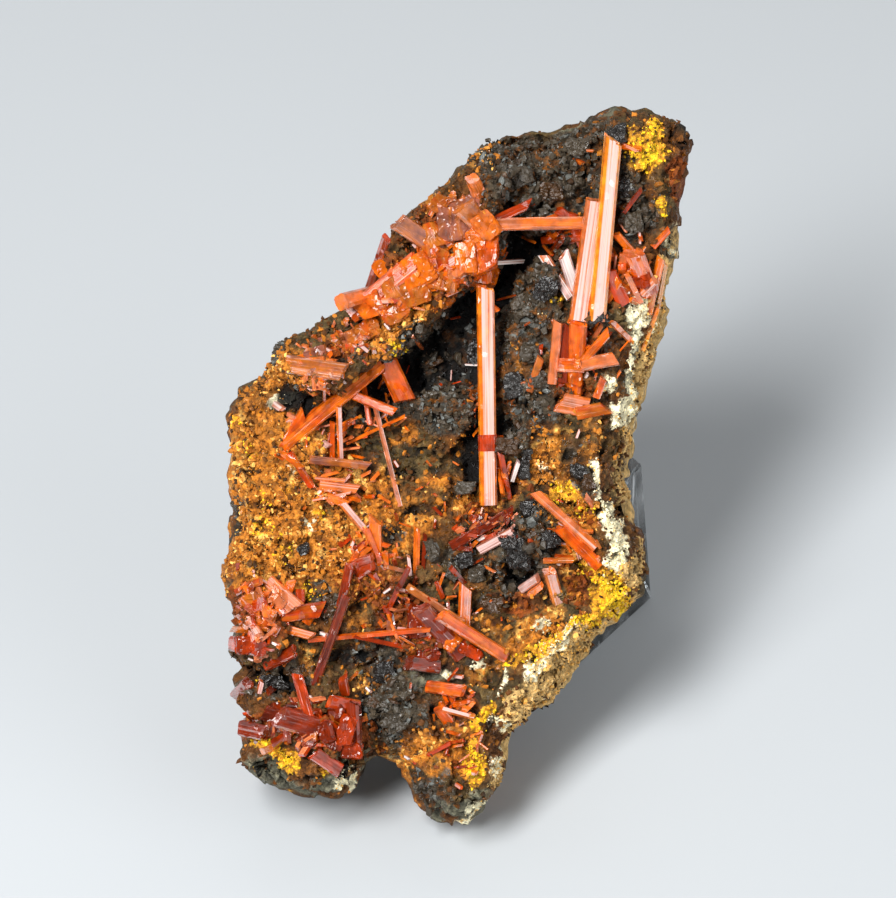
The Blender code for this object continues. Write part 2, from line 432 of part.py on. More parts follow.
def outward(sheet):
    """Unit normals of a grid of points, on the side that the face's are."""
    across = np.gradient(sheet, axis=1)
    up = np.gradient(sheet, axis=0)
    normal = np.cross(across, up)
    return normal / np.maximum(np.linalg.norm(normal, axis=-1, keepdims=True), 1e-9)


def rock_points():
    """The front and the back sheet of the slab in the face frame, which meet all round the outline."""
    x, y, s, t = outline_grid()
    sides = insets(x, y, s, t)
    inset = np.minimum.reduce(sides)
    settle = smooth_step(inset / EDGE_SETTLE)
    smooth = face_height(x, y) * settle - edge_drops(*sides, y)
    front = np.stack([x, y, smooth], -1)
    rough = FACE_CRAGS[1] * crag_noise(front, FACE_CRAGS[0], SEED)
    front[..., 2] += (rough + ROLL[1] * roll_noise(x, y, ROLL[0], SEED + 10)) * settle
    rounding = np.sqrt(np.clip(1 - (1 - np.clip(inset / BACK_ROUND, 0, 1)) ** 2, 0, 1))
    depth = SLAB_DEPTH + lumps_at(x, y, BACK_LUMPS)
    level = front[..., 2] * (1 - rounding) - depth * rounding
    back = np.stack([x, y, np.minimum(level, front[..., 2] - LEAST_DEPTH * rounding)], -1)
    sunk = crag_noise(back, BACK_CRAGS[0], SEED + 20) - BACK_EDGE_SINK * (1 - rounding)
    back = back - outward(back) * (BACK_CRAGS[1] * sunk * settle)[..., None]
    border = np.ones(x.shape, bool)
    border[1:-1, 1:-1] = False
    back[border] = front[border]
    return front, back, border


def grid_faces(numbers):
    """The quads of a grid of vertex numbers."""
    a, b = numbers[:-1, :-1].ravel(), numbers[:-1, 1:].ravel()
    c, d = numbers[1:, 1:].ravel(), numbers[1:, :-1].ravel()
    return np.stack([a, b, c, d], -1)


def mesh_object(name, points, faces, finish):
    """A mesh object from points in metres and faces."""
    mesh = bpy.data.meshes.new(name)
    mesh.from_pydata([tuple(p) for p in points], [], [tuple(int(i) for i in f) for f in faces])
    mesh.validate()
    mesh.update()
    obj = bpy.data.objects.new(name, mesh)
    obj.data.materials.append(finish)
    bpy.context.scene.collection.objects.link(obj)
    return obj


def applied(obj):
    """Replaces the object's mesh with the one that its modifiers give, and drops them."""
    graph = bpy.context.evaluated_depsgraph_get()
    made = bpy.data.meshes.new_from_object(obj.evaluated_get(graph))
    obj.modifiers.clear()
    obj.data = made
    return obj


def make_rock(finish):
    """The slab: two sheets sewn at the outline, thinned to broken facets, with its feet worn flat where
    they stand. Returns the object and the height of the ground under it in the unshifted scene."""
    front, back, border = rock_points()
    numbers = np.arange(front[..., 0].size).reshape(front.shape[:2])
    back_numbers = np.where(border, numbers, numbers + numbers.size)
    points = to_world(np.concatenate([front.reshape(-1, 3), back.reshape(-1, 3)]))
    faces = np.concatenate([grid_faces(numbers), grid_faces(back_numbers)[:, ::-1]])
    used = np.unique(faces)
    renumber = np.zeros(len(points), int)
    renumber[used] = np.arange(len(used))
    rock = mesh_object("matrix_rock", points[used], renumber[faces], finish)
    thin = rock.modifiers.new("facets", "DECIMATE")
    thin.ratio = ROCK_TRIANGLES / (2 * len(faces))
    thin.use_collapse_triangulate = True
    applied(rock)
    ground = level_ground(rock)
    for vertex in rock.data.vertices:
        vertex.co.z = max(vertex.co.z, ground)
    rock.data.update()
    return rock, ground


def level_ground(rock):
    """The height at which both feet of the slab are cut by the same level plane."""
    feet = [
        min(v.co.z for v in rock.data.vertices if (v.co.x < ARCH_X * MM) == is_left)
        for is_left in (True, False)
    ]
    return max(feet) + FOOT_FLAT * MM


def prism_section(width, depth, grooves):
    """The cross-section of a crystal: a lozenge if it is thin, or else a rectangle with cut corners, and
    shallow V grooves on its broad side."""
    half_w, half_d, cut = width / 2, depth / 2, CUT_CORNER * min(width, depth)
    if width < THIN:
        return [(half_w, half_d * 0.6), (half_w / 2, -half_d), (-half_w, -half_d * 0.6), (-half_w / 2, half_d)]
    if width < BROAD:
        return [
            (half_w - cut, half_d), (half_w, half_d - cut), (half_w, -half_d),
            (cut - half_w, -half_d), (-half_w, cut - half_d), (-half_w, half_d),
        ]
    section = [
        (half_w - cut, half_d), (half_w, half_d - cut), (half_w, cut - half_d), (half_w - cut, -half_d),
        (cut - half_w, -half_d), (-half_w, cut - half_d), (-half_w, half_d - cut), (cut - half_w, half_d),
    ]
    across = 2 * (half_w - cut)
    for number in range(grooves):
        for offset, sink in ((-GROOVE_WIDTH / 2, 0), (0, GROOVE_DEPTH), (GROOVE_WIDTH / 2, 0)):
            share = (number + 1 + offset) / (grooves + 1)
            section.append((cut - half_w + share * across, half_d - sink * depth))
    return section


def rock_level(tree, x, y):
    """Height of the rock where it is seen at x and y, or of the smooth face beyond its outline."""
    start = Vector(to_world((x, y, SIGHT_HEIGHT)))
    ahead = Vector(to_world((x, y, 0))) - start
    distance = tree.ray_cast(start, ahead.normalized())[3]
    if distance is None:
        return float(face_height(np.array(x, float), np.array(y, float)))
    return max(SIGHT_HEIGHT * (1 - distance / ahead.length), DEEPEST)


def crystal_mesh(row, tree):
    """One crystal as a bmesh in the scene: its section carried from foot to tip, and cut slanting there."""
    _, foot, tip, (width, depth), spin, grooves, cut = row
    ends = [np.array([x, y, rock_level(tree, x, y) + lift]) for x, y, lift in (foot, tip)]
    along = ends[1] - ends[0]
    length = np.linalg.norm(along)
    along = along / length
    out = np.array([0.0, 0.0, 1.0]) - along[2] * along
    out = out / np.linalg.norm(out)
    side = np.cross(along, out)
    turn = math.radians(spin)
    broad = math.cos(turn) * out + math.sin(turn) * side
    side = math.cos(turn) * side - math.sin(turn) * out
    section = prism_section(width, depth, grooves)
    made = bmesh.new()
    rings = []
    for is_tip in (False, True):
        ring = []
        for p, q in section:
            reach = length - cut[0] * p - cut[1] * q if is_tip else 0.0
            at = ends[0] + along * reach + side * p + broad * q
            ring.append(made.verts.new(Vector(to_world(at))))
        rings.append(ring)
    count = len(section)
    for number in range(count):
        after = (number + 1) % count
        made.faces.new((rings[0][number], rings[0][after], rings[1][after], rings[1][number]))
    made.faces.new(rings[0][::-1])
    made.faces.new(rings[1])
    bmesh.ops.recalc_face_normals(made, faces=made.faces)
    bmesh.ops.triangulate(made, faces=made.faces)
    return made


def groups_that_meet(trees):
    """Groups of the numbers of the trees whose surfaces cross, in table order."""
    group = list(range(len(trees)))
    for first in range(len(trees)):
        for second in range(first + 1, len(trees)):
            if group[first] != group[second] and trees[first].overlap(trees[second]):
                low, high = sorted((group[first], group[second]))
                group = [low if g == high else g for g in group]
    found = {}
    for number, label in enumerate(group):
        found.setdefault(label, []).append(number)
    return list(found.values())


def combine(obj, others, operation):
    """obj with one exact Boolean for each of the others, applied."""
    for other in others:
        cut = obj.modifiers.new("combine", "BOOLEAN")
        cut.operation = operation
        cut.solver = "EXACT"
        cut.object = other
        applied(obj)
    return obj


def keep_largest(obj):
    """Drops every loose part of the mesh but the one of greatest volume."""
    made = bmesh.new()
    made.from_mesh(obj.data)
    bmesh.ops.remove_doubles(made, verts=made.verts, dist=1e-6)
    left = set(made.faces)
    parts = []
    while left:
        part, front = set(), [left.pop()]
        while front:
            face = front.pop()
            part.add(face)
            for edge in face.edges:
                for near in edge.link_faces:
                    if near in left and len(edge.link_faces) == 2:
                        left.discard(near)
                        front.append(near)
        parts.append(part)
    parts.sort(key=lambda part: -abs(part_volume(part)))
    extra = [face for part in parts[1:] for face in part]
    bmesh.ops.delete(made, geom=extra, context="FACES")
    bmesh.ops.recalc_face_normals(made, faces=made.faces)
    made.to_mesh(obj.data)
    made.free()
    return obj


def flatten(obj):
    """Joins the faces that lie in one plane, and splits them afresh into as few triangles as will do."""
    made = bmesh.new()
    made.from_mesh(obj.data)
    bmesh.ops.dissolve_limit(
        made, angle_limit=math.radians(FLAT_ANGLE), verts=made.verts[:], edges=made.edges[:]
    )
    bmesh.ops.triangulate(made, faces=made.faces[:])
    made.to_mesh(obj.data)
    made.free()
    return obj


def part_volume(faces):
    """Six times the volume inside a closed set of faces."""
    total = 0.0
    for face in faces:
        corners = [loop.vert.co for loop in face.loops]
        for b, c in zip(corners[1:], corners[2:]):
            total += corners[0].dot(b.cross(c))
    return total


def solid_from(made, name):
    """A bmesh as an object of the scene."""
    mesh = bpy.data.meshes.new(name)
    made.to_mesh(mesh)
    solid = bpy.data.objects.new(name, mesh)
    bpy.context.scene.collection.objects.link(solid)
    return solid


def bare_part(made, rock):
    """What shows of a crystal: the tree of its mesh, cut where it leaves the rock."""
    bare = keep_largest(combine(solid_from(made, "bare"), [rock], "DIFFERENCE"))
    cut = bmesh.new()
    cut.from_mesh(bare.data)
    tree = BVHTree.FromBMesh(cut)
    cut.free()
    bpy.data.objects.remove(bare, do_unlink=True)
    return tree


def make_crystals(rock, finish):
    """The crystals, those that meet outside the rock joined in one solid, each cut where it leaves the rock
    and lifted off it by the gap, straight out of the face."""
    surface = BVHTree.FromObject(rock, bpy.context.evaluated_depsgraph_get())
    meshes = [crystal_mesh(row, surface) for row in CRYSTALS]
    trees = [bare_part(made, rock) for made in meshes]
    lift = Vector(to_world((*VIEW_CENTRE, GAP)) - to_world((*VIEW_CENTRE, 0)))
    made = []
    for numbers in groups_that_meet(trees):
        members = [solid_from(meshes[number], CRYSTALS[number][0]) for number in numbers]
        solid = combine(members[0], members[1:], "UNION")
        for member in members[1:]:
            bpy.data.objects.remove(member, do_unlink=True)
        keep_largest(flatten(keep_largest(combine(solid, [rock], "DIFFERENCE"))))
        solid.data.transform(Matrix.Translation(lift))
        solid.data.materials.clear()
        solid.data.materials.append(finish)
        made.append(solid)
    return made


def block_outline():
    """The six corners of the clear block's foot round its centre, from the right one: two level sides of
    BLOCK_FRONT and four slanting ones."""
    x, y = BLOCK_FRONT / 2, BLOCK_DEPTH / 2
    right = BLOCK_WIDTH / 2
    return [Vector((*corner, 0)) * MM for corner in ((right, 0), (x, y), (-x, y), (-right, 0), (-x, -y), (x, -y))]


def make_block(rock, ground, finish):
    """The clear block: a six-sided prism with drafted sides and broken edges, as high as the slab's back
    lets it stand."""
    centre = Vector((BLOCK_RIGHT_CORNER[0] - BLOCK_WIDTH / 2, BLOCK_RIGHT_CORNER[1], 0)) * MM
    centre.z = ground
    tree = BVHTree.FromObject(rock, bpy.context.evaluated_depsgraph_get())
    corners = block_outline()
    room = []
    for start, end in zip(corners, corners[1:] + corners[:1]):
        for share in np.linspace(0, 1, 17):
            at = centre + start.lerp(end, share) * BLOCK_DRAFT
            hit = tree.ray_cast(at, Vector((0, 0, 1)))
            if hit[0] is not None:
                room.append(hit[3])
    height = min(room) - GAP * MM
    made = bmesh.new()
    low = [made.verts.new(centre + corner) for corner in corners]
    high = [made.verts.new(centre + corner * BLOCK_DRAFT + Vector((0, 0, height))) for corner in corners]
    for number in range(6):
        after = (number + 1) % 6
        made.faces.new((low[number], low[after], high[after], high[number]))
    made.faces.new(low[::-1])
    made.faces.new(high)
    bmesh.ops.recalc_face_normals(made, faces=made.faces)
    bmesh.ops.bevel(made, geom=made.edges[:], offset=BLOCK_EDGE * MM, segments=1, affect="EDGES")
    block = solid_from(made, "clear_block")
    block.data.materials.append(finish)
    return block


def centre_on_ground(objects, ground):
    """Moves everything so that the ground is at zero and the whole is centred over the origin."""
    corners = np.array([v.co for obj in objects for v in obj.data.vertices])
    middle = (corners.min(0) + corners.max(0)) / 2
    shift = Matrix.Translation(Vector((-middle[0], -middle[1], -ground)))
    for obj in objects:
        obj.data.transform(shift)


def main():
    clear_scene()
    rock_finish = material("limonite_gossan", ROCK_COLOUR, 0.9)
    crystal_finish = material("crocoite", CROCOITE_COLOUR, 0.15, transmission=0.3, ior=2.3)
    clear_finish = material("clear_acrylic", CLEAR_COLOUR, 0.05, transmission=1.0, ior=1.49)
    rock, ground = make_rock(rock_finish)
    crystals = make_crystals(rock, crystal_finish)
    block = make_block(rock, ground, clear_finish)
    centre_on_ground([rock, *crystals, block], ground)


if __name__ == "__main__":
    main()
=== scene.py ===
"""Looks of the crocoite specimen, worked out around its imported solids: the gossan slab with its crusts and
fragments, the crocoite prisms that grew on it, and the clear acrylic block that props it up.

Places in the tables are in the face frame, in millimetres: x runs across the slab's face, y runs up it and w
points out of it. The face leans back by LEAN, and places are as seen from VIEW_DISTANCE in front of
VIEW_CENTRE. Meshes and materials are in metres, in the frame of the solids."""

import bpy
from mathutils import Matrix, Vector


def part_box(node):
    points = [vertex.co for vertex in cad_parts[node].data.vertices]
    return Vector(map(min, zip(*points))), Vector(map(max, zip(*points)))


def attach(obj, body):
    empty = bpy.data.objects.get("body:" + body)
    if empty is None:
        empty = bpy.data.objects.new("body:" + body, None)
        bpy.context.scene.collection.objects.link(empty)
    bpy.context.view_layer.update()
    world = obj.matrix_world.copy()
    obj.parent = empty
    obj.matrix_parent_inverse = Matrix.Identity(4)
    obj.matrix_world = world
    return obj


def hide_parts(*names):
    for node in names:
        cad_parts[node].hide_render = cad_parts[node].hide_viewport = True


bl_info = {
    "name": "Crocoite Specimen",
    "version": (1, 0, 0),
    "blender": (4, 5, 0),
    "location": "View3D > Sidebar > Specimen",
    "description": "Gossan slab, crocoite prisms and clear block, made around the packed solids",
    "category": "Add Mesh",
}

import math

import bpy
import numpy as np
from mathutils import Vector
from mathutils.bvhtree import BVHTree

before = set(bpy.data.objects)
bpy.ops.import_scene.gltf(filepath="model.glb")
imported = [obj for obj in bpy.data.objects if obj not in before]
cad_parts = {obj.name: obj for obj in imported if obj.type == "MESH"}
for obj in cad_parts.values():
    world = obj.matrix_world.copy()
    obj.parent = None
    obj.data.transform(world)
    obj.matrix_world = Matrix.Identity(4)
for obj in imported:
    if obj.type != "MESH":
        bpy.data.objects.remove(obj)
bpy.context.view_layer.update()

# The face frame, in millimetres and degrees, and what ties it to the solids: a millimetre in metres, how far
# the face leans back, where it is seen from, the middle of the clear block and the ground in that frame, the
# height from which the rock's level is looked for and its least, and the gap that the solids are lifted by.
MM = 0.001
LEAN = 40.0
VIEW_CENTRE = (-1.0, 52.6)
VIEW_DISTANCE = 629.0
BLOCK_CENTRE = (7.8, 57.1)
GROUND_LEVEL = -8.6235
SIGHT_HEIGHT = 50.0
DEEPEST = -9.0
GAP = 0.4

# The slab, in millimetres: its depth, how near its outline the unevenness fades out, the least depth, and how
# far the crags of the back are sunk at its edge. Then the cells of its grid, and how many of them make one of
# the back's, and how many cells away the mean is taken that the rise of the grit and the sinking of a hollow
# are measured from, which give painted light and shade.
SLAB_DEPTH = 19.5
EDGE_SETTLE = 1.2
LEAST_DEPTH = 4.0
BACK_EDGE_SINK = 0.6
GRID_ACROSS = 216
GRID_UP = 344
BACK_STEP = 2
CROWN_REACH = 4
HOLLOW_REACH = 26

# The noise: how far a facet is tilted and stepped, how far a grain reaches in cells, and a distance beyond
# all others.
PLANE_TILT = 0.8
PLANE_STEP = 0.7
GRAIN_REACH = 0.45
FAR = 1e9

# Where the random numbers of each kind of piece start.
SEED = 7
CRYSTAL_SEED = 100
GRAIN_SEED = 300
CLUSTER_SEED = 500
LUMP_SEED = 700
GOETHITE_SEED = 750
SMALL_SEED = 800

# The crystals, in millimetres: width of a strip, the step between two, and how deep their edges lie; the
# width below which a section is a lozenge; and the lip round a hollow end. Then the share by which a ring may
# be drawn in, how many degrees the painted reflection on the faces that look its way fades over, and the
# range of the random starts of patterns.
STRIP_WIDTH = 0.45
STRIP_STEP = 0.05
STRIP_SINK = 0.06
THIN = 1.05
TIP_LIP = 0.05
DRIFT = 0.05
SHEEN_SPREAD = 35
WAY_START = 50

# The lumps of crystal: rings and sides of the ball that each is read on, the flat faces it is cut by, and the
# size of the facets on them, in millimetres.
LUMP_RINGS = 26
LUMP_SIDES = 40
LUMP_PLANES = 15
LUMP_CELL = 1.1

# The stage: half the width of the floor and the point that the lights look at, in metres, and the point of
# the face that the camera looks at, in millimetres.
FLOOR_HALF = 3.0
LIT_POINT = (0, 0, 0.04)
CAMERA_CENTRE = (-0.98, 52.64)

# The slab's outline as it is seen squarely: its left and right edges as (y, x), its bottom and top as (x, y).
LEFT_EDGE = [
    (9.5, -30.2), (13, -29.8), (16, -29.4), (18.5, -31), (20.5, -31), (22, -29.6), (24.5, -32),
    (27, -31.4), (29, -31.2), (32, -32), (35, -33), (38, -31.8), (41, -31.4), (45, -31.2), (49, -32),
    (52, -31.2), (56, -32.2), (59, -31.6), (61, -29.8), (63, -27.2), (65, -25.8), (67.5, -24.6),
    (69, -20.4), (71.3, -17.4), (73, -13), (77, -11), (81, -10), (84, -8), (86.5, -5), (88.3, -2.6),
    (90, -0.4), (92, 0.6),
]
RIGHT_EDGE = [
    (4.6, 5.3), (7, 6.5), (10, 7.5), (13, 8.1), (15, 9.5), (16.3, 11), (17, 13), (19, 14.6), (21, 16.4),
    (23.5, 18), (26.5, 20), (28.2, 21.5), (30.5, 24.6), (32.5, 26.1), (35, 27), (39, 26.8), (41.5, 25.8),
    (45, 24.2), (50, 24), (54, 25.1), (58, 25.8), (62, 27.2), (66, 28.1), (71, 29.6), (75, 29.8),
    (79, 30.7), (85, 31.3), (90, 32.4), (95, 33.2), (96.8, 32.2),
]
BOTTOM_EDGE = [
    (-30.2, 9.5), (-29.2, 7.4), (-27, 5.7), (-24, 4.7), (-21, 4), (-18, 3.3), (-15.4, 4), (-13.8, 5.4),
    (-12.8, 8), (-11, 9.4), (-8.6, 8.8), (-6.8, 6.6), (-5.4, 3.2), (-3.6, 1), (-1, 0), (1.6, 0.3),
    (3.8, 2), (5.3, 4.6),
]
TOP_EDGE = [
    (0.6, 92), (3, 94.4), (6, 95.9), (10, 96.8), (14, 97.5), (18, 98.5), (20.5, 99.8), (23.5, 100.6),
    (26.5, 100.1), (29.4, 99.2), (31.4, 97.8), (32.2, 96.8),
]

# How the face falls away to each edge: width of the bevel and its drop.
LEFT_BEVEL = (2.2, 7.5)
BOTTOM_BEVEL = (3, 8)
TOP_BEVEL = (2.6, 8)
BACK_ROUND = 7.0

# The wall on the right, as (y, width seen, drop).
RIGHT_WALL = [
    (4, 1.8, 7), (10, 3, 9), (14.5, 4.2, 10), (17.5, 6.6, 12), (21.5, 6.8, 13), (24.5, 6.6, 13),
    (27, 4.6, 12), (30, 4, 12), (33, 2.6, 10), (36, 3.2, 11), (42, 4, 12), (50, 3.4, 12), (54, 2.6, 11),
    (62, 2.8, 11), (71, 3.4, 12), (79, 1.8, 9), (88, 1.7, 9), (96, 1.7, 8),
]

# Terraces of the face: outline, height and width of the step round it.
RIDGE = (
    [(8, 92), (6.4, 87), (6.2, 79), (4.2, 76), (0.5, 74.6), (-1.6, 71), (-6, 66.8), (-9.5, 65),
     (-14.5, 62.4), (-19.6, 60.4), (-23, 62.5), (-27, 66), (-32, 76), (-14, 94), (0, 96)],
    5, 1.8,
)
CAVE = (
    [(-9.2, 65), (-1.6, 72), (2.4, 75.6), (6.4, 79.6), (7, 83.4), (13, 82.8), (13.4, 79.4), (9, 76),
     (7.4, 70), (5.4, 62), (-1, 61), (-7, 59), (-12.4, 57.6), (-13.6, 60.6)],
    -6, 3,
)
TERRACES = [RIDGE, CAVE]

# Lumps and hollows of the face: x, y, half width, half height, height, and the turn in degrees of those
# that are turned.
LUMPS = [
    (-25, 46, 9, 13, 2.8), (1, 51, 12, 6, -2.6), (-12, 54, 6, 4.5, -2.2, 20), (22, 39, 4, 8, 2.4, 10),
    (18, 33, 3.2, 3, -3), (8.5, 39.5, 3, 2.4, 2.8), (8.8, 35, 1.7, 1.4, -4), (7.3, 52.8, 2.3, 1.3, 2.4, -10),
    (-24, 20.4, 4.6, 2.3, -3.4), (-27, 28, 5, 5, 1.4), (-21, 9, 7, 5, 1.4), (-10.4, 12, 2.6, 4, -3.4),
    (-7.4, 18, 4, 3.4, 1.8), (-15, 23.8, 4.2, 2.4, -3, 10), (1, 9, 4, 5.4, 2, -10), (23.4, 98, 5, 4, 2.2),
    (26.6, 95.6, 2.2, 2.3, 2), (7, 98, 11, 4.4, -6, 8), (17.4, 91, 3.4, 4.4, -2.4), (7, 90, 3, 2.4, 1.6),
    (13, 88.4, 4, 2, 1.2), (24, 72, 2.4, 3.2, 1.8), (19, 71, 2.6, 1, 2), (6.9, 58, 1.4, 3.6, -2.4),
    (0.4, 58.8, 1.9, 1.3, 2.2), (4.6, 55.6, 2.6, 5.6, -2.6), (1, 47.4, 1.7, 1, 1.4),
    (-3, 38.2, 1.2, 1.9, 1.4, 25), (20.4, 50.5, 1.6, 6, 1.6, 8), (-24.6, 66.6, 2, 1.6, -2),
]

# Lumps and hollows of the back, in the same form. The positive ones make the slab thicker.
BACK_LUMPS = [
    (8, 33, 15, 7, 2.6), (-22, 9, 8, 7, 4.6), (0, 4, 6, 6, 1.6), (-8, 52, 12, 8, 2.2, 20),
    (14, 60, 10, 9, -2), (22, 86, 10, 14, -5), (2, 84, 8, 7, 1.6), (-12, 70, 9, 9, -3.6),
    (-28, 38, 6, 16, -3), (-14, 26, 7, 6, -1.6),
]

# Cell size and step height of the broken facets, then wavelength and height of the roll.
FACE_CRAGS = (4.6, 1.15)
BACK_CRAGS = (7.5, 1.5)
ROLL = (9, 0.9)

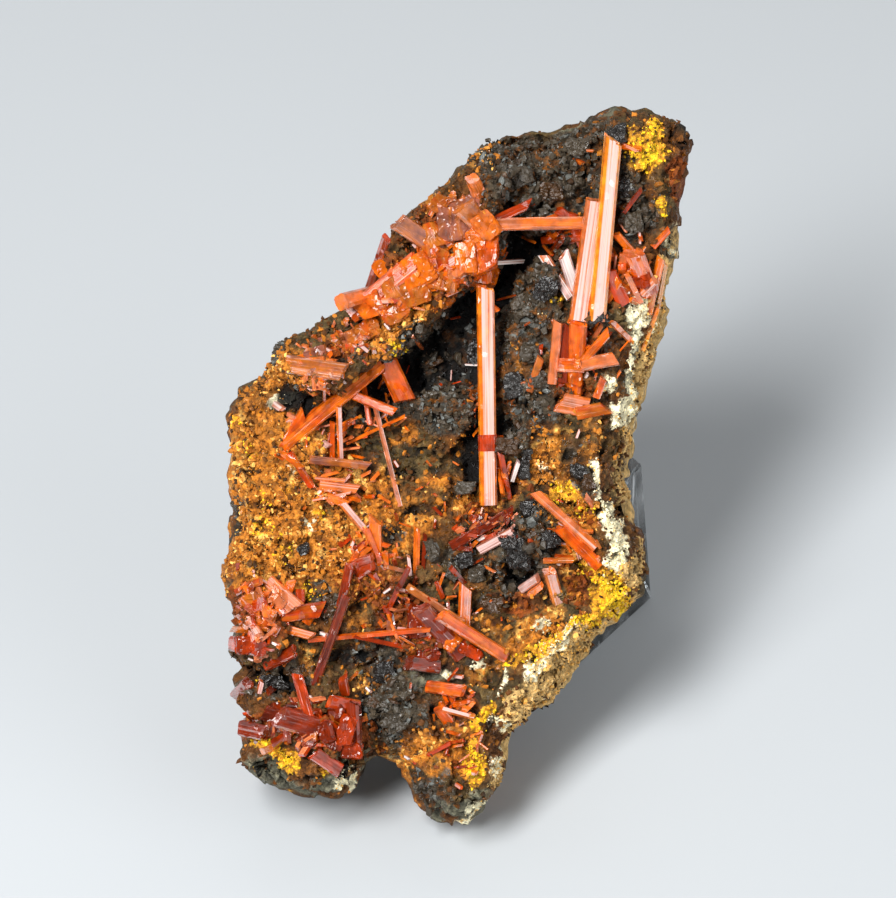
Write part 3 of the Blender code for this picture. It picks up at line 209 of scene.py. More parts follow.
# Where each mineral of the face lies, in the same form, with a weight for the height.
ZONES = {
    "ash": [
        (-27, 6.5, 4, 2.4, 1.4, -15), (-20, 5, 5, 1.8, 1.2), (-14.5, 5.6, 2, 2, 1.2),
        (10, 96, 7, 2.2, 0.6, 8), (3, 94, 3, 1.6, 0.5, 35), (17, 98, 4, 1.6, 0.6, 10), (24, 100.4, 5, 1, 0.7),
        (31.6, 94, 1.4, 4, 0.4), (31.2, 86, 1.2, 5, 0.3), (-2, 1.6, 4, 1.4, 1.1), (3.4, 4, 2.4, 2.4, 0.6),
        (-31, 20, 1, 3, 0.7), (-26.5, 55, 2, 1.8, 0.5), (-25, 45.5, 1.4, 1.6, 0.5),
        (-23.5, 51, 1.2, 1.4, 0.4), (30, 80, 1.2, 4, 0.7), (-23.4, 61.6, 1.2, 1.6, 1),
        (-2.4, 21, 2, 0.9, 1.2), (-5, 20.4, 2, 2, 0.7), (9, 88, 3, 2, 0.5), (-32, 34, 1, 3, 0.6),
        (-10, 9.6, 3, 1.2, 0.8), (-7, 5.4, 1.6, 3, 0.9, 30),
    ],
    "tan": [
        (29, 70, 1.8, 7, 1.4), (27.2, 62, 1.6, 5, 1.3), (25.6, 54, 1.6, 5, 1.2), (24, 47, 1.4, 4, 1.2),
        (25, 36, 1.8, 3, 1), (22.6, 29.6, 2.4, 1.6, 1.2, 35), (18.6, 24.6, 3.4, 2, 1.5, 40),
        (14.6, 20.4, 3.4, 2.4, 1.5, 40), (10.6, 17, 2.6, 2.4, 1.4, 20), (7.4, 11.6, 1.4, 3.4, 1.2),
        (5.8, 6.4, 1, 2.4, 1), (29.6, 76, 1, 3, 1), (-31.6, 50, 0.8, 4, 0.6), (32, 89, 1.1, 7, 0.25),
        (30.8, 82, 0.9, 4, 0.5), (13, 22, 5, 2.4, 0.8, 40),
    ],
    "black": [
        (12, 91, 9, 6, 1.1), (6, 95, 6, 2, 0.7, 10), (10, 74, 4.5, 9, 1.1), (14.5, 82, 4, 4, 0.9),
        (23.6, 88, 2.6, 6, 0.8), (25.5, 84, 3, 3, 0.8), (20.5, 97.5, 3, 2.4, 0.8),
        # The first three patches of this line, in the cave under the ridge and under the cross bar, are partly
        # dark goethite and partly painted shade, darkening where shade falls.
        (-3.5, 64.5, 6, 5, 1.4, 30), (3, 71, 4, 5, 1.2), (9, 82, 4, 1.6, 1.3), (-1, 57.5, 4.4, 3, 1.1),
        (8.6, 58, 3.4, 5, 0.9), (12.4, 59, 3, 2.4, 0.8), (7.4, 52.8, 2.6, 1.5, 1.2), (12, 55.5, 3, 2, 0.5),
        (18.4, 48, 2.6, 2, 0.9), (9.4, 38.5, 3.6, 3.6, 1.4), (12.6, 41, 3.2, 2, 1.1, -20),
        (8, 34.6, 2, 1.4, 1.3), (11, 45, 1.6, 2, 0.8), (1.4, 37, 3, 2, 1), (-17.6, 31, 1.6, 2.4, 1.4),
        (-25, 20.3, 5, 2.8, 1.2), (-9, 20, 4.6, 4.4, 0.9), (-12.5, 24.6, 4, 2, 1.1, 10),
        (-8.4, 16, 4, 2, 0.9), (-21.2, 38.7, 1.2, 0.8, 1), (-24.8, 66.6, 2, 2, 1.4),
        (1.4, 47.3, 1.8, 1.1, 1.4), (-2.2, 45.4, 1, 1.2, 0.7, 30), (5, 31, 2.2, 1.4, 0.9),
        (-3.2, 38.4, 0.9, 1.8, 1.4, 25), (-31.6, 43, 1.4, 4, 1.6), (-32, 30, 1.4, 2.4, 1),
        (-4, 4.6, 3.4, 3, 1.1), (-21.6, 11.4, 2, 1.1, 1), (-8.8, 40.4, 2, 1.5, 1), (-8.6, 32.6, 2, 2.2, 0.6),
        (20.6, 67, 2, 3.4, 0.9), (22.6, 92, 1.2, 3, 0.7), (-22.6, 61.8, 1.4, 1.4, 0.7), (-12, 51, 2, 2, 0.7),
        (-11, 61.4, 1.6, 1.8, 1.2), (-14, 57.8, 1.5, 1.5, 1), (-7.6, 58, 2, 1.6, 0.7),
        (-14.6, 66.4, 3, 1, 0.7, 20), (1.8, 23, 1, 1, 0.9), (-11.6, 45.6, 1, 0.9, 0.8),
        (22.4, 61.6, 1.4, 2, 0.5), (17, 53, 1.6, 2.4, 0.5), (-20, 45.6, 1, 0.7, 0.4),
        (-9.6, 13.6, 1.6, 3, 0.9), (12.4, 76.6, 2, 3, 0.6), (19.2, 71.4, 3, 1.6, 1),
        (26.4, 88.6, 1.6, 2.4, 0.5), (13.4, 71.6, 1.8, 1.8, 0.5),
    ],
    "ochre": [
        (-25, 48, 8, 12, 1.1), (-22, 37, 10, 4.4, 1.2), (-13, 46, 5, 5, 0.8), (-3, 45, 7, 4, 0.35),
        (-15, 40, 5, 4, 0.8), (-5.6, 10.8, 4.4, 3, 1), (-12.4, 20.6, 1.7, 2.2, 1.1),
        (12.6, 51.5, 2.4, 3.4, 0.9), (15, 44, 4.6, 3, 0.9), (13.4, 28, 3, 2, 0.7), (8, 25, 3, 2, 0.6),
        (-7, 53.8, 2.4, 1.5, 0.9), (1, 53, 3, 2, 0.4), (-24.6, 63.4, 4, 3, 1, 20), (-7.4, 71.6, 4, 3.6, 1.1),
        (9.6, 67.2, 2.2, 1.5, 0.9), (4, 92.6, 3.4, 1.8, 0.7), (-3, 87, 2.6, 2, 0.7), (17.4, 38, 3, 3, 0.9),
        (3, 21.4, 2.6, 3, 0.7), (26, 91, 2.4, 3, 0.4), (13.4, 55.6, 1.8, 1.4, 0.7), (-12.6, 69, 4, 2, 0.6),
        (1.6, 45.4, 1.3, 1.4, 0.8), (-15.5, 52, 2, 2, 0.5), (-20, 22.6, 2, 3, 0.6), (3.8, 28, 1.6, 1.6, 0.7),
        (17, 35.5, 1.6, 1, 0.8), (-31.2, 52, 2, 6, 0.5), (-31.2, 36.6, 2, 3, 0.6), (5.6, 46, 2.4, 2, 0.7),
        (-1, 48.4, 4, 2, 0.4), (9.6, 27.4, 3.4, 3, 0.6), (13, 32, 3, 3, 0.4), (19, 54, 3, 5, 0.5),
        (24, 79, 2, 4, 0.4), (12, 49.4, 3, 3, 0.5), (-14, 28, 4, 4, 0.4), (2, 12.4, 3, 3, 0.5),
        (16, 41.4, 2, 2, 0.5), (-6, 40.8, 4, 3, 0.5), (-11, 66.6, 2.4, 2.4, 0.9), (0.6, 7.6, 2.4, 3, 0.7),
    ],
    "yellow": [
        (26.8, 94.6, 2.6, 2.6, 1.6), (27.9, 98, 1.3, 1.2, 1.2), (28.3, 87, 1.4, 0.9, 0.9),
        (14.4, 47.3, 2.3, 1.7, 1.1, -20), (22.2, 32.4, 2, 2.6, 1.5, -20), (18.4, 28.6, 3, 1, 1.3, 30),
        (19.6, 35.6, 2.4, 1.6, 0.9), (2.9, 8.6, 1.4, 3, 1.5, -10), (3.7, 14.6, 1.3, 1.5, 1.1),
        (-26.6, 10.4, 2.4, 1, 1.3, -20), (-23.4, 8.8, 1.7, 0.8, 1.2, -20), (-20, 31.4, 1.3, 1, 1.3),
        (-8.3, 67, 1.6, 1, 1.3), (-27, 41.4, 2.4, 2.4, 0.55), (-29.4, 53, 1.4, 3.4, 0.5),
        (-24, 38, 1.8, 2, 0.55), (-18.4, 43.6, 1.5, 0.9, 0.7), (-28, 45.6, 1.2, 1.8, 0.5),
        (-8, 72.4, 2.4, 2.2, 0.8), (7.6, 23, 2.2, 1, 0.8), (11.6, 23.8, 2, 1.2, 0.9, 30),
        (13.4, 26.4, 1.6, 1.4, 1), (5.4, 17, 1.1, 1.4, 0.8), (17.8, 44.4, 1.8, 1.4, 0.8),
        (-24, 48, 2, 1.2, 0.5), (14.8, 73.7, 0.9, 0.6, 0.9), (-28.6, 21.2, 1, 1, 0.7),
        (-17.6, 7.4, 1.6, 0.6, 0.8, 10), (-31.2, 57.6, 1, 1.4, 0.7), (-20, 53, 1, 1, 0.4),
    ],
    "cream": [
        (26.2, 73.5, 1.6, 3, 1.2), (24.9, 67.5, 0.9, 4.4, 1.2), (24, 61.6, 0.8, 3, 1.1),
        (22.8, 57.6, 1.7, 2.2, 1.3, 20), (20.2, 48.4, 0.9, 2.4, 1.1), (20.8, 44.8, 0.9, 1, 1.1),
        (21.6, 41, 1, 3.2, 1.3, 20), (22.6, 36.8, 0.9, 2.2, 1.1), (16, 26.8, 2.6, 1.1, 1.3, 35),
        (13, 25, 1.2, 1.4, 1.1), (10.6, 22, 2.2, 0.9, 1, 35), (-14.6, 5.2, 2.8, 1.7, 1),
        (29.9, 82, 0.6, 3, 0.6), (3.3, 23, 0.8, 1.4, 1), (-1.6, 20.9, 1.7, 0.7, 1.2),
        (11.6, 28.4, 1.4, 1.6, 0.9), (9.6, 91, 0.8, 1.4, 1, 20), (-25.2, 58.8, 1.4, 1, 1),
        (13.4, 71, 1.2, 1.6, 0.6, 20), (-5.2, 70.4, 0.7, 1, 1), (-16, 9, 1.4, 1, 0.9, 20),
        (6.2, 14.6, 0.9, 2.4, 0.8, 20), (5.6, 8.4, 0.8, 2.4, 0.8), (6.4, 20.4, 0.7, 2, 0.7),
        (2.4, 1.6, 2, 1, 0.7), (21.4, 62, 0.8, 1, 0.7), (13, 50.4, 0.9, 2, 0.6), (-23, 59.6, 1.2, 1.6, 0.6),
        (4.4, 36.6, 1.4, 1.6, 0.5), (-20.5, 42.5, 1.4, 1.6, 0.6), (-22, 50, 1, 2, 0.5),
    ],
    "rust": [
        (-12, 34.4, 3, 2.6, 1), (-9, 30, 3, 4, 0.9), (4, 43.6, 4.4, 1.8, 0.9), (8.4, 31.6, 4.4, 2.2, 0.8),
        (22.6, 76, 1.4, 3, 1.2), (31.8, 90, 1.4, 6, 0.9), (7.4, 59, 1.3, 2.4, 0.8), (-3.4, 84, 4.4, 3.4, 0.9),
        (-14.8, 68, 5, 2.2, 0.9, 20), (19.4, 68.6, 1.5, 1.6, 1.2), (18, 33, 2.4, 2.4, 1),
        (17.4, 43.2, 1.4, 1.2, 1.2), (-27, 30, 5, 5, 0.9), (-16, 13, 5, 3.4, 1), (-26, 14, 4, 2, 1),
        (-5, 26, 4, 4, 0.8), (0, 16.6, 2.6, 3, 0.9), (-17.5, 49, 5, 3, 0.8), (-6, 77, 5, 3, 0.9),
        (3.4, 79.6, 3, 4, 1), (16.4, 61, 3, 2.6, 0.9), (12.4, 57, 2.6, 1.4, 0.4), (-1, 10, 3, 3, 0.6),
        (25.6, 76, 2.4, 3, 0.9), (-1.6, 74, 2.6, 1.4, 0.9), (8, 48, 2, 2.4, 0.8), (2, 60.6, 1.6, 2.2, 0.8),
        (15.8, 35.6, 1.8, 1.4, 0.7), (-14.5, 33, 2, 2, 0.7),
    ],
}

# The crystals by the solid that each belongs to. Each row: foot and tip as (x, y, height over the rock),
# width and depth, spin in degrees, slopes of the cut that ends it, finish, and how white its striated faces
# are, partly the white of the striae and partly painted reflection. Then, where it is not 0, the direction
# in which those look, where the painted reflection falls (degrees from straight out towards the left of its
# length), and the depth of the hollow in its end, or a negative number for how ragged the end is.
CRYSTALS = {
    "tall_prism": [
        ((19.8, 70.6, 0.2), (22.15, 96.2, 2.6), (2.4, 2), 15, (0.5, 0.2), "gold", 1, 5, -0.5),
        ((17.3, 70.6, 1.4), (19.75, 87.6, 3), (2.7, 1.9), 12, (0.1, 0.3), "pink", 1, 8, -0.25),
        ((16, 70.2, 1.2), (17.4, 74.2, 1.6), (0.7, 0.6), 0, (0.9, 0), "orange", 0.5),
        ((4.6, 84.1, 0.2), (19.4, 84.3, 2), (1.75, 1.5), -12, (0.2, 0), "pink", 0.5, -30, -0.3),
        ((12.4, 81.9, 1.2), (17.8, 82.2, 1.8), (1.1, 1), 15, (0.3, 0), "scarlet", 0.4, -30),
        ((18.6, 80.2, 0), (16.6, 84.4, 1.4), (1.9, 1.5), 10, (0.4, 0), "scarlet", 0),
        ((16.8, 84.2, 0.2), (14.4, 86.2, 1.2), (1.3, 1.2), 20, (0.4, 0.2), "scarlet", 0.2),
        ((5.4, 84.6, 0.4), (10.4, 86.9, 2.2), (1.3, 0.9), -10, (1.2, 0), "scarlet", 0.3, -20),
        ((3.8, 78.6, -0.6), (9.5, 79, 2.2), (0.7, 0.7), 0, (0.4, 0), "white", 1),
        ((23.6, 73, -0.5), (21.4, 77.6, 1.4), (2.1, 1.6), 20, (0.4, 0), "scarlet", 0.2),
        ((16.7, 60.4, -0.4), (17.3, 70.4, 2.6), (2.3, 1.8), -20, (0.3, 0.1), "orange", 0.3, -60, -0.4),
        ((13.6, 61.8, 0), (14.4, 70.5, 2.2), (1.3, 1.1), 12, (0.5, 0), "pink", 0.6),
        ((15.2, 62, 0.2), (15.7, 70.1, 1.8), (1.7, 1.2), -14, (0.3, 0), "scarlet", 0.1, 0, -0.3),
        ((18, 64.2, 0.4), (14.4, 64.4, 1.6), (1.9, 1.4), 10, (0.2, 0), "orange", 0.2),
        ((17.6, 64.6, 0.6), (21.5, 69, 2.4), (1.2, 1), 14, (0.8, 0), "orange", 0.5),
        ((17.6, 64.4, 0.6), (22.5, 65.3, 2.2), (1.9, 1.4), -10, (-0.4, 0), "pink", 0.5),
        ((3.6, 76.6, -0.6), (3.9, 83.4, 1.2), (3.4, 2.2), -12, (0.1, 0.1), "orange", 0.1, 0, -0.2),
        ((4.2, 83.6, -0.6), (1, 86.8, 0.9), (3.4, 2), 14, (0.2, 0.1), "plum", 0.1, 0, -0.2),
        ((4.8, 75.3, 0.4), (0.6, 77.6, 1.8), (2, 1.2), -12, (0.4, 0), "pink", 0.5),
        ((3.6, 88.2, -0.6), (2.4, 90.6, 2.4), (1.8, 1.5), 14, (0.3, 0.2), "pink", 0.5, 0, -0.2),
    ],
    "stub_dark_face": [((13.3, 80, -0.6), (15.1, 82.2, 2), (0.9, 0.8), 10, (0.5, 0), "deep", 0.2)],
    "hollow_blade": [
        ((16.3, 73.8, 0.3), (12.5, 79.7, 2.6), (1.4, 1), -16, (0.7, 0), "white", 1, 20, 1.6),
        ((17, 74.4, -0.3), (15.2, 79.9, 2.2), (1.7, 0.9), 14, (-0.6, 0), "white", 1, -10, 1.8),
    ],
    "link_to_yellow": [((22.6, 95.2, 0.2), (26.2, 94.7, 0.2), (0.8, 0.7), 10, (0, 0), "orange", 0.3)],
    "sliver_right": [((23.5, 85.6, -0.4), (26.1, 89, 1.6), (0.7, 0.6), 0, (0.6, 0), "scarlet", 0.4)],
    "rim_rod": [((27.7, 80.9, -0.6), (30, 83.4, 2.2), (1, 0.9), 10, (0.5, 0), "orange", 0.4)],
    "right_group_rod": [
        ((25.8, 79.2, 0.2), (22.5, 82.8, 1.8), (1.1, 1), -10, (0.5, 0), "orange", 0.4),
        ((27.2, 74.6, -0.4), (25, 80.2, 2.4), (2.7, 2), 15, (0.4, 0.2), "orange", 0.6, 30, -0.4),
        ((26, 73.2, -0.2), (24.1, 77, 2.6), (1, 0.9), -12, (0.4, 0), "pink", 0.7),
        ((26.2, 74.5, 0.4), (28, 76.3, 2), (1.2, 1.2), 10, (0.2, 0), "pink", 0.8),
        ((27, 71.6, -0.8), (28.9, 79.4, 0.8), (1.2, 0.9), 30, (0.6, 0), "gold", 0.3),
    ],
    "fan_low_stub": [((19.8, 59.9, -0.4), (20.8, 62.5, 1.4), (1.1, 0.9), 10, (0.4, 0), "orange", 0.5)],
    "fan_plate": [
        ((18.6, 58.4, -0.6), (14.6, 59.2, 1.8), (2.9, 0.9), -16, (0.5, 0), "pink", 0.7, 0, -0.3),
        ((17, 57.6, 0.1), (21.2, 58.4, 1.6), (1.9, 0.9), 20, (-0.8, 0), "amber", 0.3),
    ],
    "left_of_fan": [((10.4, 60.8, -0.6), (12, 65.4, 1.6), (1.1, 0.9), 10, (0.5, 0), "amber", 0.2)],
    "rim_splinter": [((24.6, 67.8, -0.6), (21.9, 70.5, 1.4), (0.9, 0.7), 0, (0.8, 0), "pink", 0.5)],
    "long_prism": [
        ((4.65, 44.8, 0.2), (4.25, 75.4, 7.6), (2.4, 1.9), 13, (0.3, 0.2), "gold", 1, 5, -0.3),
        # A sleeve of deeper red round the long prism: painted light, for a band that the light makes across
        # it.
        ((4.56, 52.4, 3.95), (4.53, 54.7, 3.76), (2.5, 2), 13, (0, 0), "scarlet", 0.15, 5),
        ((4.4, 73.4, 7.5), (6, 72, 8), (0.8, 0.7), 0, (0.4, 0), "orange", 0.1),
    ],
    "long_prism_side_rod": [((7.6, 45.6, -0.4), (6.4, 52, 1.8), (0.8, 0.7), 10, (0.8, 0), "scarlet", 0.4)],
    "white_tooth": [((8, 48.2, -0.4), (8.9, 50.9, 1.6), (0.7, 0.7), 0, (0.8, 0), "white", 1)],
    "diagonal_rod": [
        ((-24, 53.2, -1), (-10.1, 64.9, -0.6), (2.1, 1.8), 16, (0.3, 0), "orange", 0, -50, -0.4),
        ((-24.8, 51.4, -0.8), (-21.2, 57.4, 1.4), (1.8, 1), 20, (0.9, 0), "orange", 0.2),
        ((-9.6, 65, -0.6), (-7, 59.4, 3.8), (2.8, 1.9), -14, (0.3, 0.2), "orange", 0.2),
        ((-14.2, 60.2, 0.6), (-8.4, 57.8, 2.8), (1.3, 1), 10, (0.3, 0), "orange", 0.4),
    ],
    "diagonal_tail": [((-23.2, 52.2, 0), (-20, 47.2, 0.8), (1, 0.8), 10, (0.6, 0), "amber", 0.3)],
    "white_upright": [((-16, 50.6, -0.5), (-16.3, 58.6, 3.4), (0.75, 0.7), 14, (0.3, 0), "orange", 1, 15)],
    "orange_upright": [((-17.2, 50.6, -0.6), (-17.2, 56.4, 2), (0.9, 0.8), -14, (0.3, 0), "orange", 0.3)],
    "long_needle": [
        ((-7.7, 44.6, -0.8), (-11.1, 58.2, 3.6), (0.62, 0.6), 16, (0.4, 0), "white", 0.8),
        ((-15.2, 53.4, 0.2), (-7, 57.3, 0.8), (0.5, 0.45), 0, (0.3, 0), "orange", 0.3),
    ],
    "lattice_strut": [((-12.8, 61.4, 0.8), (-11.9, 56, 1.2), (0.8, 0.7), 0, (0.3, 0), "orange", 0.4)],
    "brown_blade": [((-20.4, 51.2, -0.3), (-12.2, 50.3, 1.2), (1.2, 0.8), 12, (0.7, 0), "plum", 0.5)],
    "pink_plate_upper": [((-19, 47.6, 0), (-13.6, 47, 1.4), (1.3, 0.7), -16, (0.6, 0), "pink", 0.7)],
    "pink_plate_lower": [((-19.2, 46.6, -0.5), (-15.2, 44.9, 1), (1.2, 0.7), 12, (0.5, 0), "pink", 0.5)],
    "pink_rod": [((-12.3, 40.9, -0.6), (-15.8, 45, 1.6), (1, 0.8), 12, (0.4, 0), "pink", 1)],
    "flame_blade": [
        ((-10.9, 34.6, -0.8), (-11.2, 42.8, 2.8), (1.7, 1), -16, (0.9, 0), "orange", 0.1),
        ((-10.4, 36.4, 0.2), (-12.5, 41.6, 2), (0.9, 0.7), 10, (0.7, 0), "orange", 0.2),
        ((-11, 39.6, 0.8), (-9.2, 39, 1.6), (0.7, 0.6), 0, (0.6, 0), "orange", 0.3),
    ],
    "red_chunk": [
        ((-14.9, 36.2, -0.6), (-11.6, 37.5, 2.2), (1.2, 1), 10, (0.3, 0), "scarlet", 0.3),
        ((-14, 34.8, -0.7), (-11.6, 36.6, 1.4), (1.7, 1.3), -15, (0.4, 0), "scarlet", 0.2),
    ],
    "slant_rod": [
        ((-19.7, 19.6, -0.6), (-15.2, 32.2, 2), (1.3, 1.1), 12, (0.3, 0), "deep", 0.5, 30),
        ((-20.6, 25.9, 0.2), (-3.4, 27.4, 1.6), (0.75, 0.7), 10, (0.3, 0), "orange", 0.4, -40),
        ((-6.4, 24.7, -0.2), (-14.2, 26.4, 1.6), (0.8, 0.7), -10, (0.5, 0), "scarlet", 0.2),
        ((1, 23.8, -0.4), (-4.9, 30.4, 2.6), (2.6, 1.7), -12, (0.3, 0.1), "deep", 0.2, 40, -0.5),
    ],
    "slant_rod_top": [((-16, 30.6, 0.6), (-14.8, 36.2, 1.8), (1.3, 1), -14, (0.5, 0), "scarlet", 0.2)],
    "centre_upright": [((-5.5, 33.8, -0.7), (-5.3, 41.6, 2.6), (0.9, 0.8), 14, (0.5, 0), "orange", 0.5, 10)],
    "centre_upright_side": [((-4.6, 34.6, -0.6), (-4.2, 40.8, 1.4), (0.7, 0.6), -10, (0.6, 0), "deep", 0.2)],
    "centre_left_rod": [((-9.4, 30.2, -0.5), (-6.5, 36, 2.2), (1, 0.9), -12, (0.3, 0), "scarlet", 0.4)],
    "plum_rod": [
        ((-6.7, 33.4, 0.2), (1, 28.3, 2.6), (1.1, 1), 10, (0.3, 0), "plum", 0.45, -20),
        ((7, 23.6, -0.6), (-2.1, 29.4, 3.4), (1.9, 1.5), 10, (0.4, 0.1), "orange", 0.5, 40, -0.4),
    ],
    "white_spike": [((1.2, 27, -0.6), (1.5, 33.4, 3.4), (1.7, 1.5), 28, (1, 0), "orange", 1, 40)],
    "low_right_rod": [
        ((19.8, 38.8, -0.5), (11.2, 46.5, 2), (1.4, 1.2), 14, (0.6, 0), "pink", 0.8, 30),
        ((20.3, 36.2, -0.5), (14.8, 41.6, 1.6), (1.8, 1.3), -10, (0.6, 0), "orange", 0.4),
    ],
    "pink_block": [((14.4, 31.4, -0.5), (13.2, 35.6, 1.8), (1.8, 1.5), 12, (0.3, 0.2), "pink", 0.8, 0, -0.3)],
    "amber_rods": [((12.4, 37, -0.4), (16.7, 37.1, 2.2), (0.9, 0.8), 0, (0.4, 0), "amber", 0.5)],
    "rust_blade": [((-0.6, 39, 0.2), (8.1, 43.9, 1.2), (1.4, 0.9), 10, (0.7, 0), "deep", 0.3, -30)],
    "rust_plates": [((3.4, 38.5, 0.2), (8.2, 41.1, 1.8), (1.5, 0.8), 14, (0.4, 0), "plum", 1, 0, -0.3)],
    "left_plate": [
        ((-26.4, 33.8, -0.5), (-22.4, 30.2, 2), (2.9, 1), 16, (0.4, 0), "pink", 0.7, 0, -0.4),
        ((-24.4, 29.4, -0.4), (-18.6, 30.2, 1.4), (2.2, 0.9), 12, (0.6, 0), "amber", 0.3),
    ],
    "left_upper_rod": [((-30.6, 32.6, 0.2), (-27.2, 34.2, 1.6), (1.1, 1), -10, (0.4, 0), "amber", 0.3)],
    "left_tan_rod": [
        ((-27.7, 33.2, 0), (-26.3, 29, 1.6), (1, 0.8), 12, (0.4, 0), "pink", 0.4),
        ((-30, 30, -0.5), (-26.9, 31, 1.6), (1.9, 1.4), 10, (0.2, 0.1), "scarlet", 0.5, 0, -0.3),
    ],
    "left_white_face": [((-28.8, 28.8, -0.4), (-27.4, 26.6, 1.8), (1.2, 1), 14, (0.5, 0), "pink", 1)],
    "left_red_lump": [
        ((-31, 25.4, 0), (-27.2, 24.6, 1.4), (2.2, 1.8), 12, (0.3, 0.2), "scarlet", 0.2, 0, -0.3),
        ((-27.9, 25.2, 0.6), (-25, 27.7, 2.2), (0.6, 0.5), 0, (0.3, 0), "pink", 0.6),
    ],
    "left_low_block": [
        ((-26.6, 22.4, -0.4), (-22.4, 24.4, 1.4), (1.8, 1.3), -12, (0.3, 0), "scarlet", 0.3, 0, -0.3),
    ],
    "left_white_plate": [((-23.6, 27.4, -0.4), (-20, 26.4, 1.8), (1.2, 0.8), -14, (0.6, 0), "pink", 0.8)],
    "edge_knob": [((-30.6, 18.2, -0.6), (-29, 19.8, 1.2), (1.8, 1.5), 10, (0.3, 0), "deep", 0.3, 0, -0.2)],
    "foot_red_block": [
        ((-19.6, 13.6, -0.4), (-24.7, 15.2, 2.4), (3.1, 2.4), -14, (0.3, 0.1), "deep", 0.1, 20, -0.1),
        ((-24, 14.8, 0), (-27, 15.7, 1.4), (2.2, 1.8), 10, (0.3, 0), "deep", 0.2, 0, -0.3),
        ((-20.3, 14.4, 0.4), (-22.1, 21, 3.2), (1.5, 1.3), 14, (0.4, 0.1), "scarlet", 0.6, -20),
        ((-13.6, 10.2, -0.6), (-19.2, 14.6, 1.4), (2.6, 2), -10, (0.3, 0.1), "scarlet", 0.1, 0, -0.2),
        ((-13.9, 9.6, -0.2), (-14.3, 17.2, 1.6), (2, 1.7), -18, (0.2, 0), "deep", 0.3, 0, -0.3),
        ((-13.6, 16.5, 0), (-17.6, 17.3, 1.4), (1.9, 1.5), 10, (0.3, 0), "scarlet", 0.3),
    ],
    "foot_plate": [((-16.2, 7.6, -0.6), (-19.8, 10, 1.4), (2.1, 0.9), 12, (0.4, 0), "scarlet", 0.5, 0, -0.3)],
    "foot_left_red": [
        ((-30, 13.6, -0.6), (-26.4, 12.8, 1.6), (2.2, 1.6), 14, (0.4, 0), "deep", 0.3, 0, -0.3),
    ],
    "amber_prism": [((-3.9, 19.4, -0.2), (1.2, 18.7, 1.6), (1.7, 1.4), 12, (0.3, 0), "orange", 0.4)],
    "white_rod_low": [
        ((2.6, 15, -0.4), (-1.8, 16.2, 2), (0.7, 0.7), 12, (0.3, 0), "pink", 1),
        ((-0.8, 14.4, -0.5), (-2.2, 16.4, 1.4), (1.7, 1.4), -12, (0.2, 0), "orange", 0.3),
    ],
    "maroon_block": [
        ((-2.4, 22.2, -0.6), (-6.6, 22.7, 1.2), (2.2, 1.8), 12, (0.3, 0.2), "deep", 0.1, 0, -0.3),
    ],
    "toe_needle": [((-5.8, 8.7, 0.2), (-0.6, 11.5, 1.4), (0.65, 0.55), 0, (0.4, 0), "scarlet", 0.3)],
    "ridge_plate": [
        ((-1.6, 80.2, -0.4), (-8.2, 84.6, 2), (2.7, 1.3), 12, (0.3, 0), "plum", 0.35, 0, -0.5),
        ((-14.6, 71.4, -0.4), (-5.4, 79, 1.6), (2.7, 1.7), -10, (0.3, 0), "orange", 0.4, -30, -0.4),
        ((-11.4, 74.4, -0.4), (-16, 73.2, 3.2), (2.3, 2), 14, (0.1, 0), "pink", 0.4, 0, -0.2),
        ((-3.6, 74.8, -0.6), (-4.5, 79.6, 1), (2.4, 1.8), 10, (0.3, 0.1), "orange", 0.1, 0, -0.3),
    ],
    "ridge_left_blade": [
        ((-12.5, 73.6, -0.8), (-9.6, 82.2, 1.6), (1.3, 0.9), -20, (0.5, 0), "scarlet", 0.5, -40),
    ],
    "ridge_amber_stub": [
        ((-0.6, 74.8, -0.3), (-0.4, 78, 1.4), (1.5, 1.2), 12, (0.3, 0), "amber", 0.4, 0, -0.2),
    ],
    "ridge_low_plate": [
        ((-23.6, 64.6, -0.4), (-15.4, 63.4, 1.2), (2.6, 1.2), 12, (0.4, 0), "plum", 0.5, 0, -0.4),
        ((-19.4, 65.6, 0.6), (-19, 60.8, 1.4), (2.1, 1.3), -10, (0.2, 0), "pink", 0.3, 0, -0.2),
    ],
}

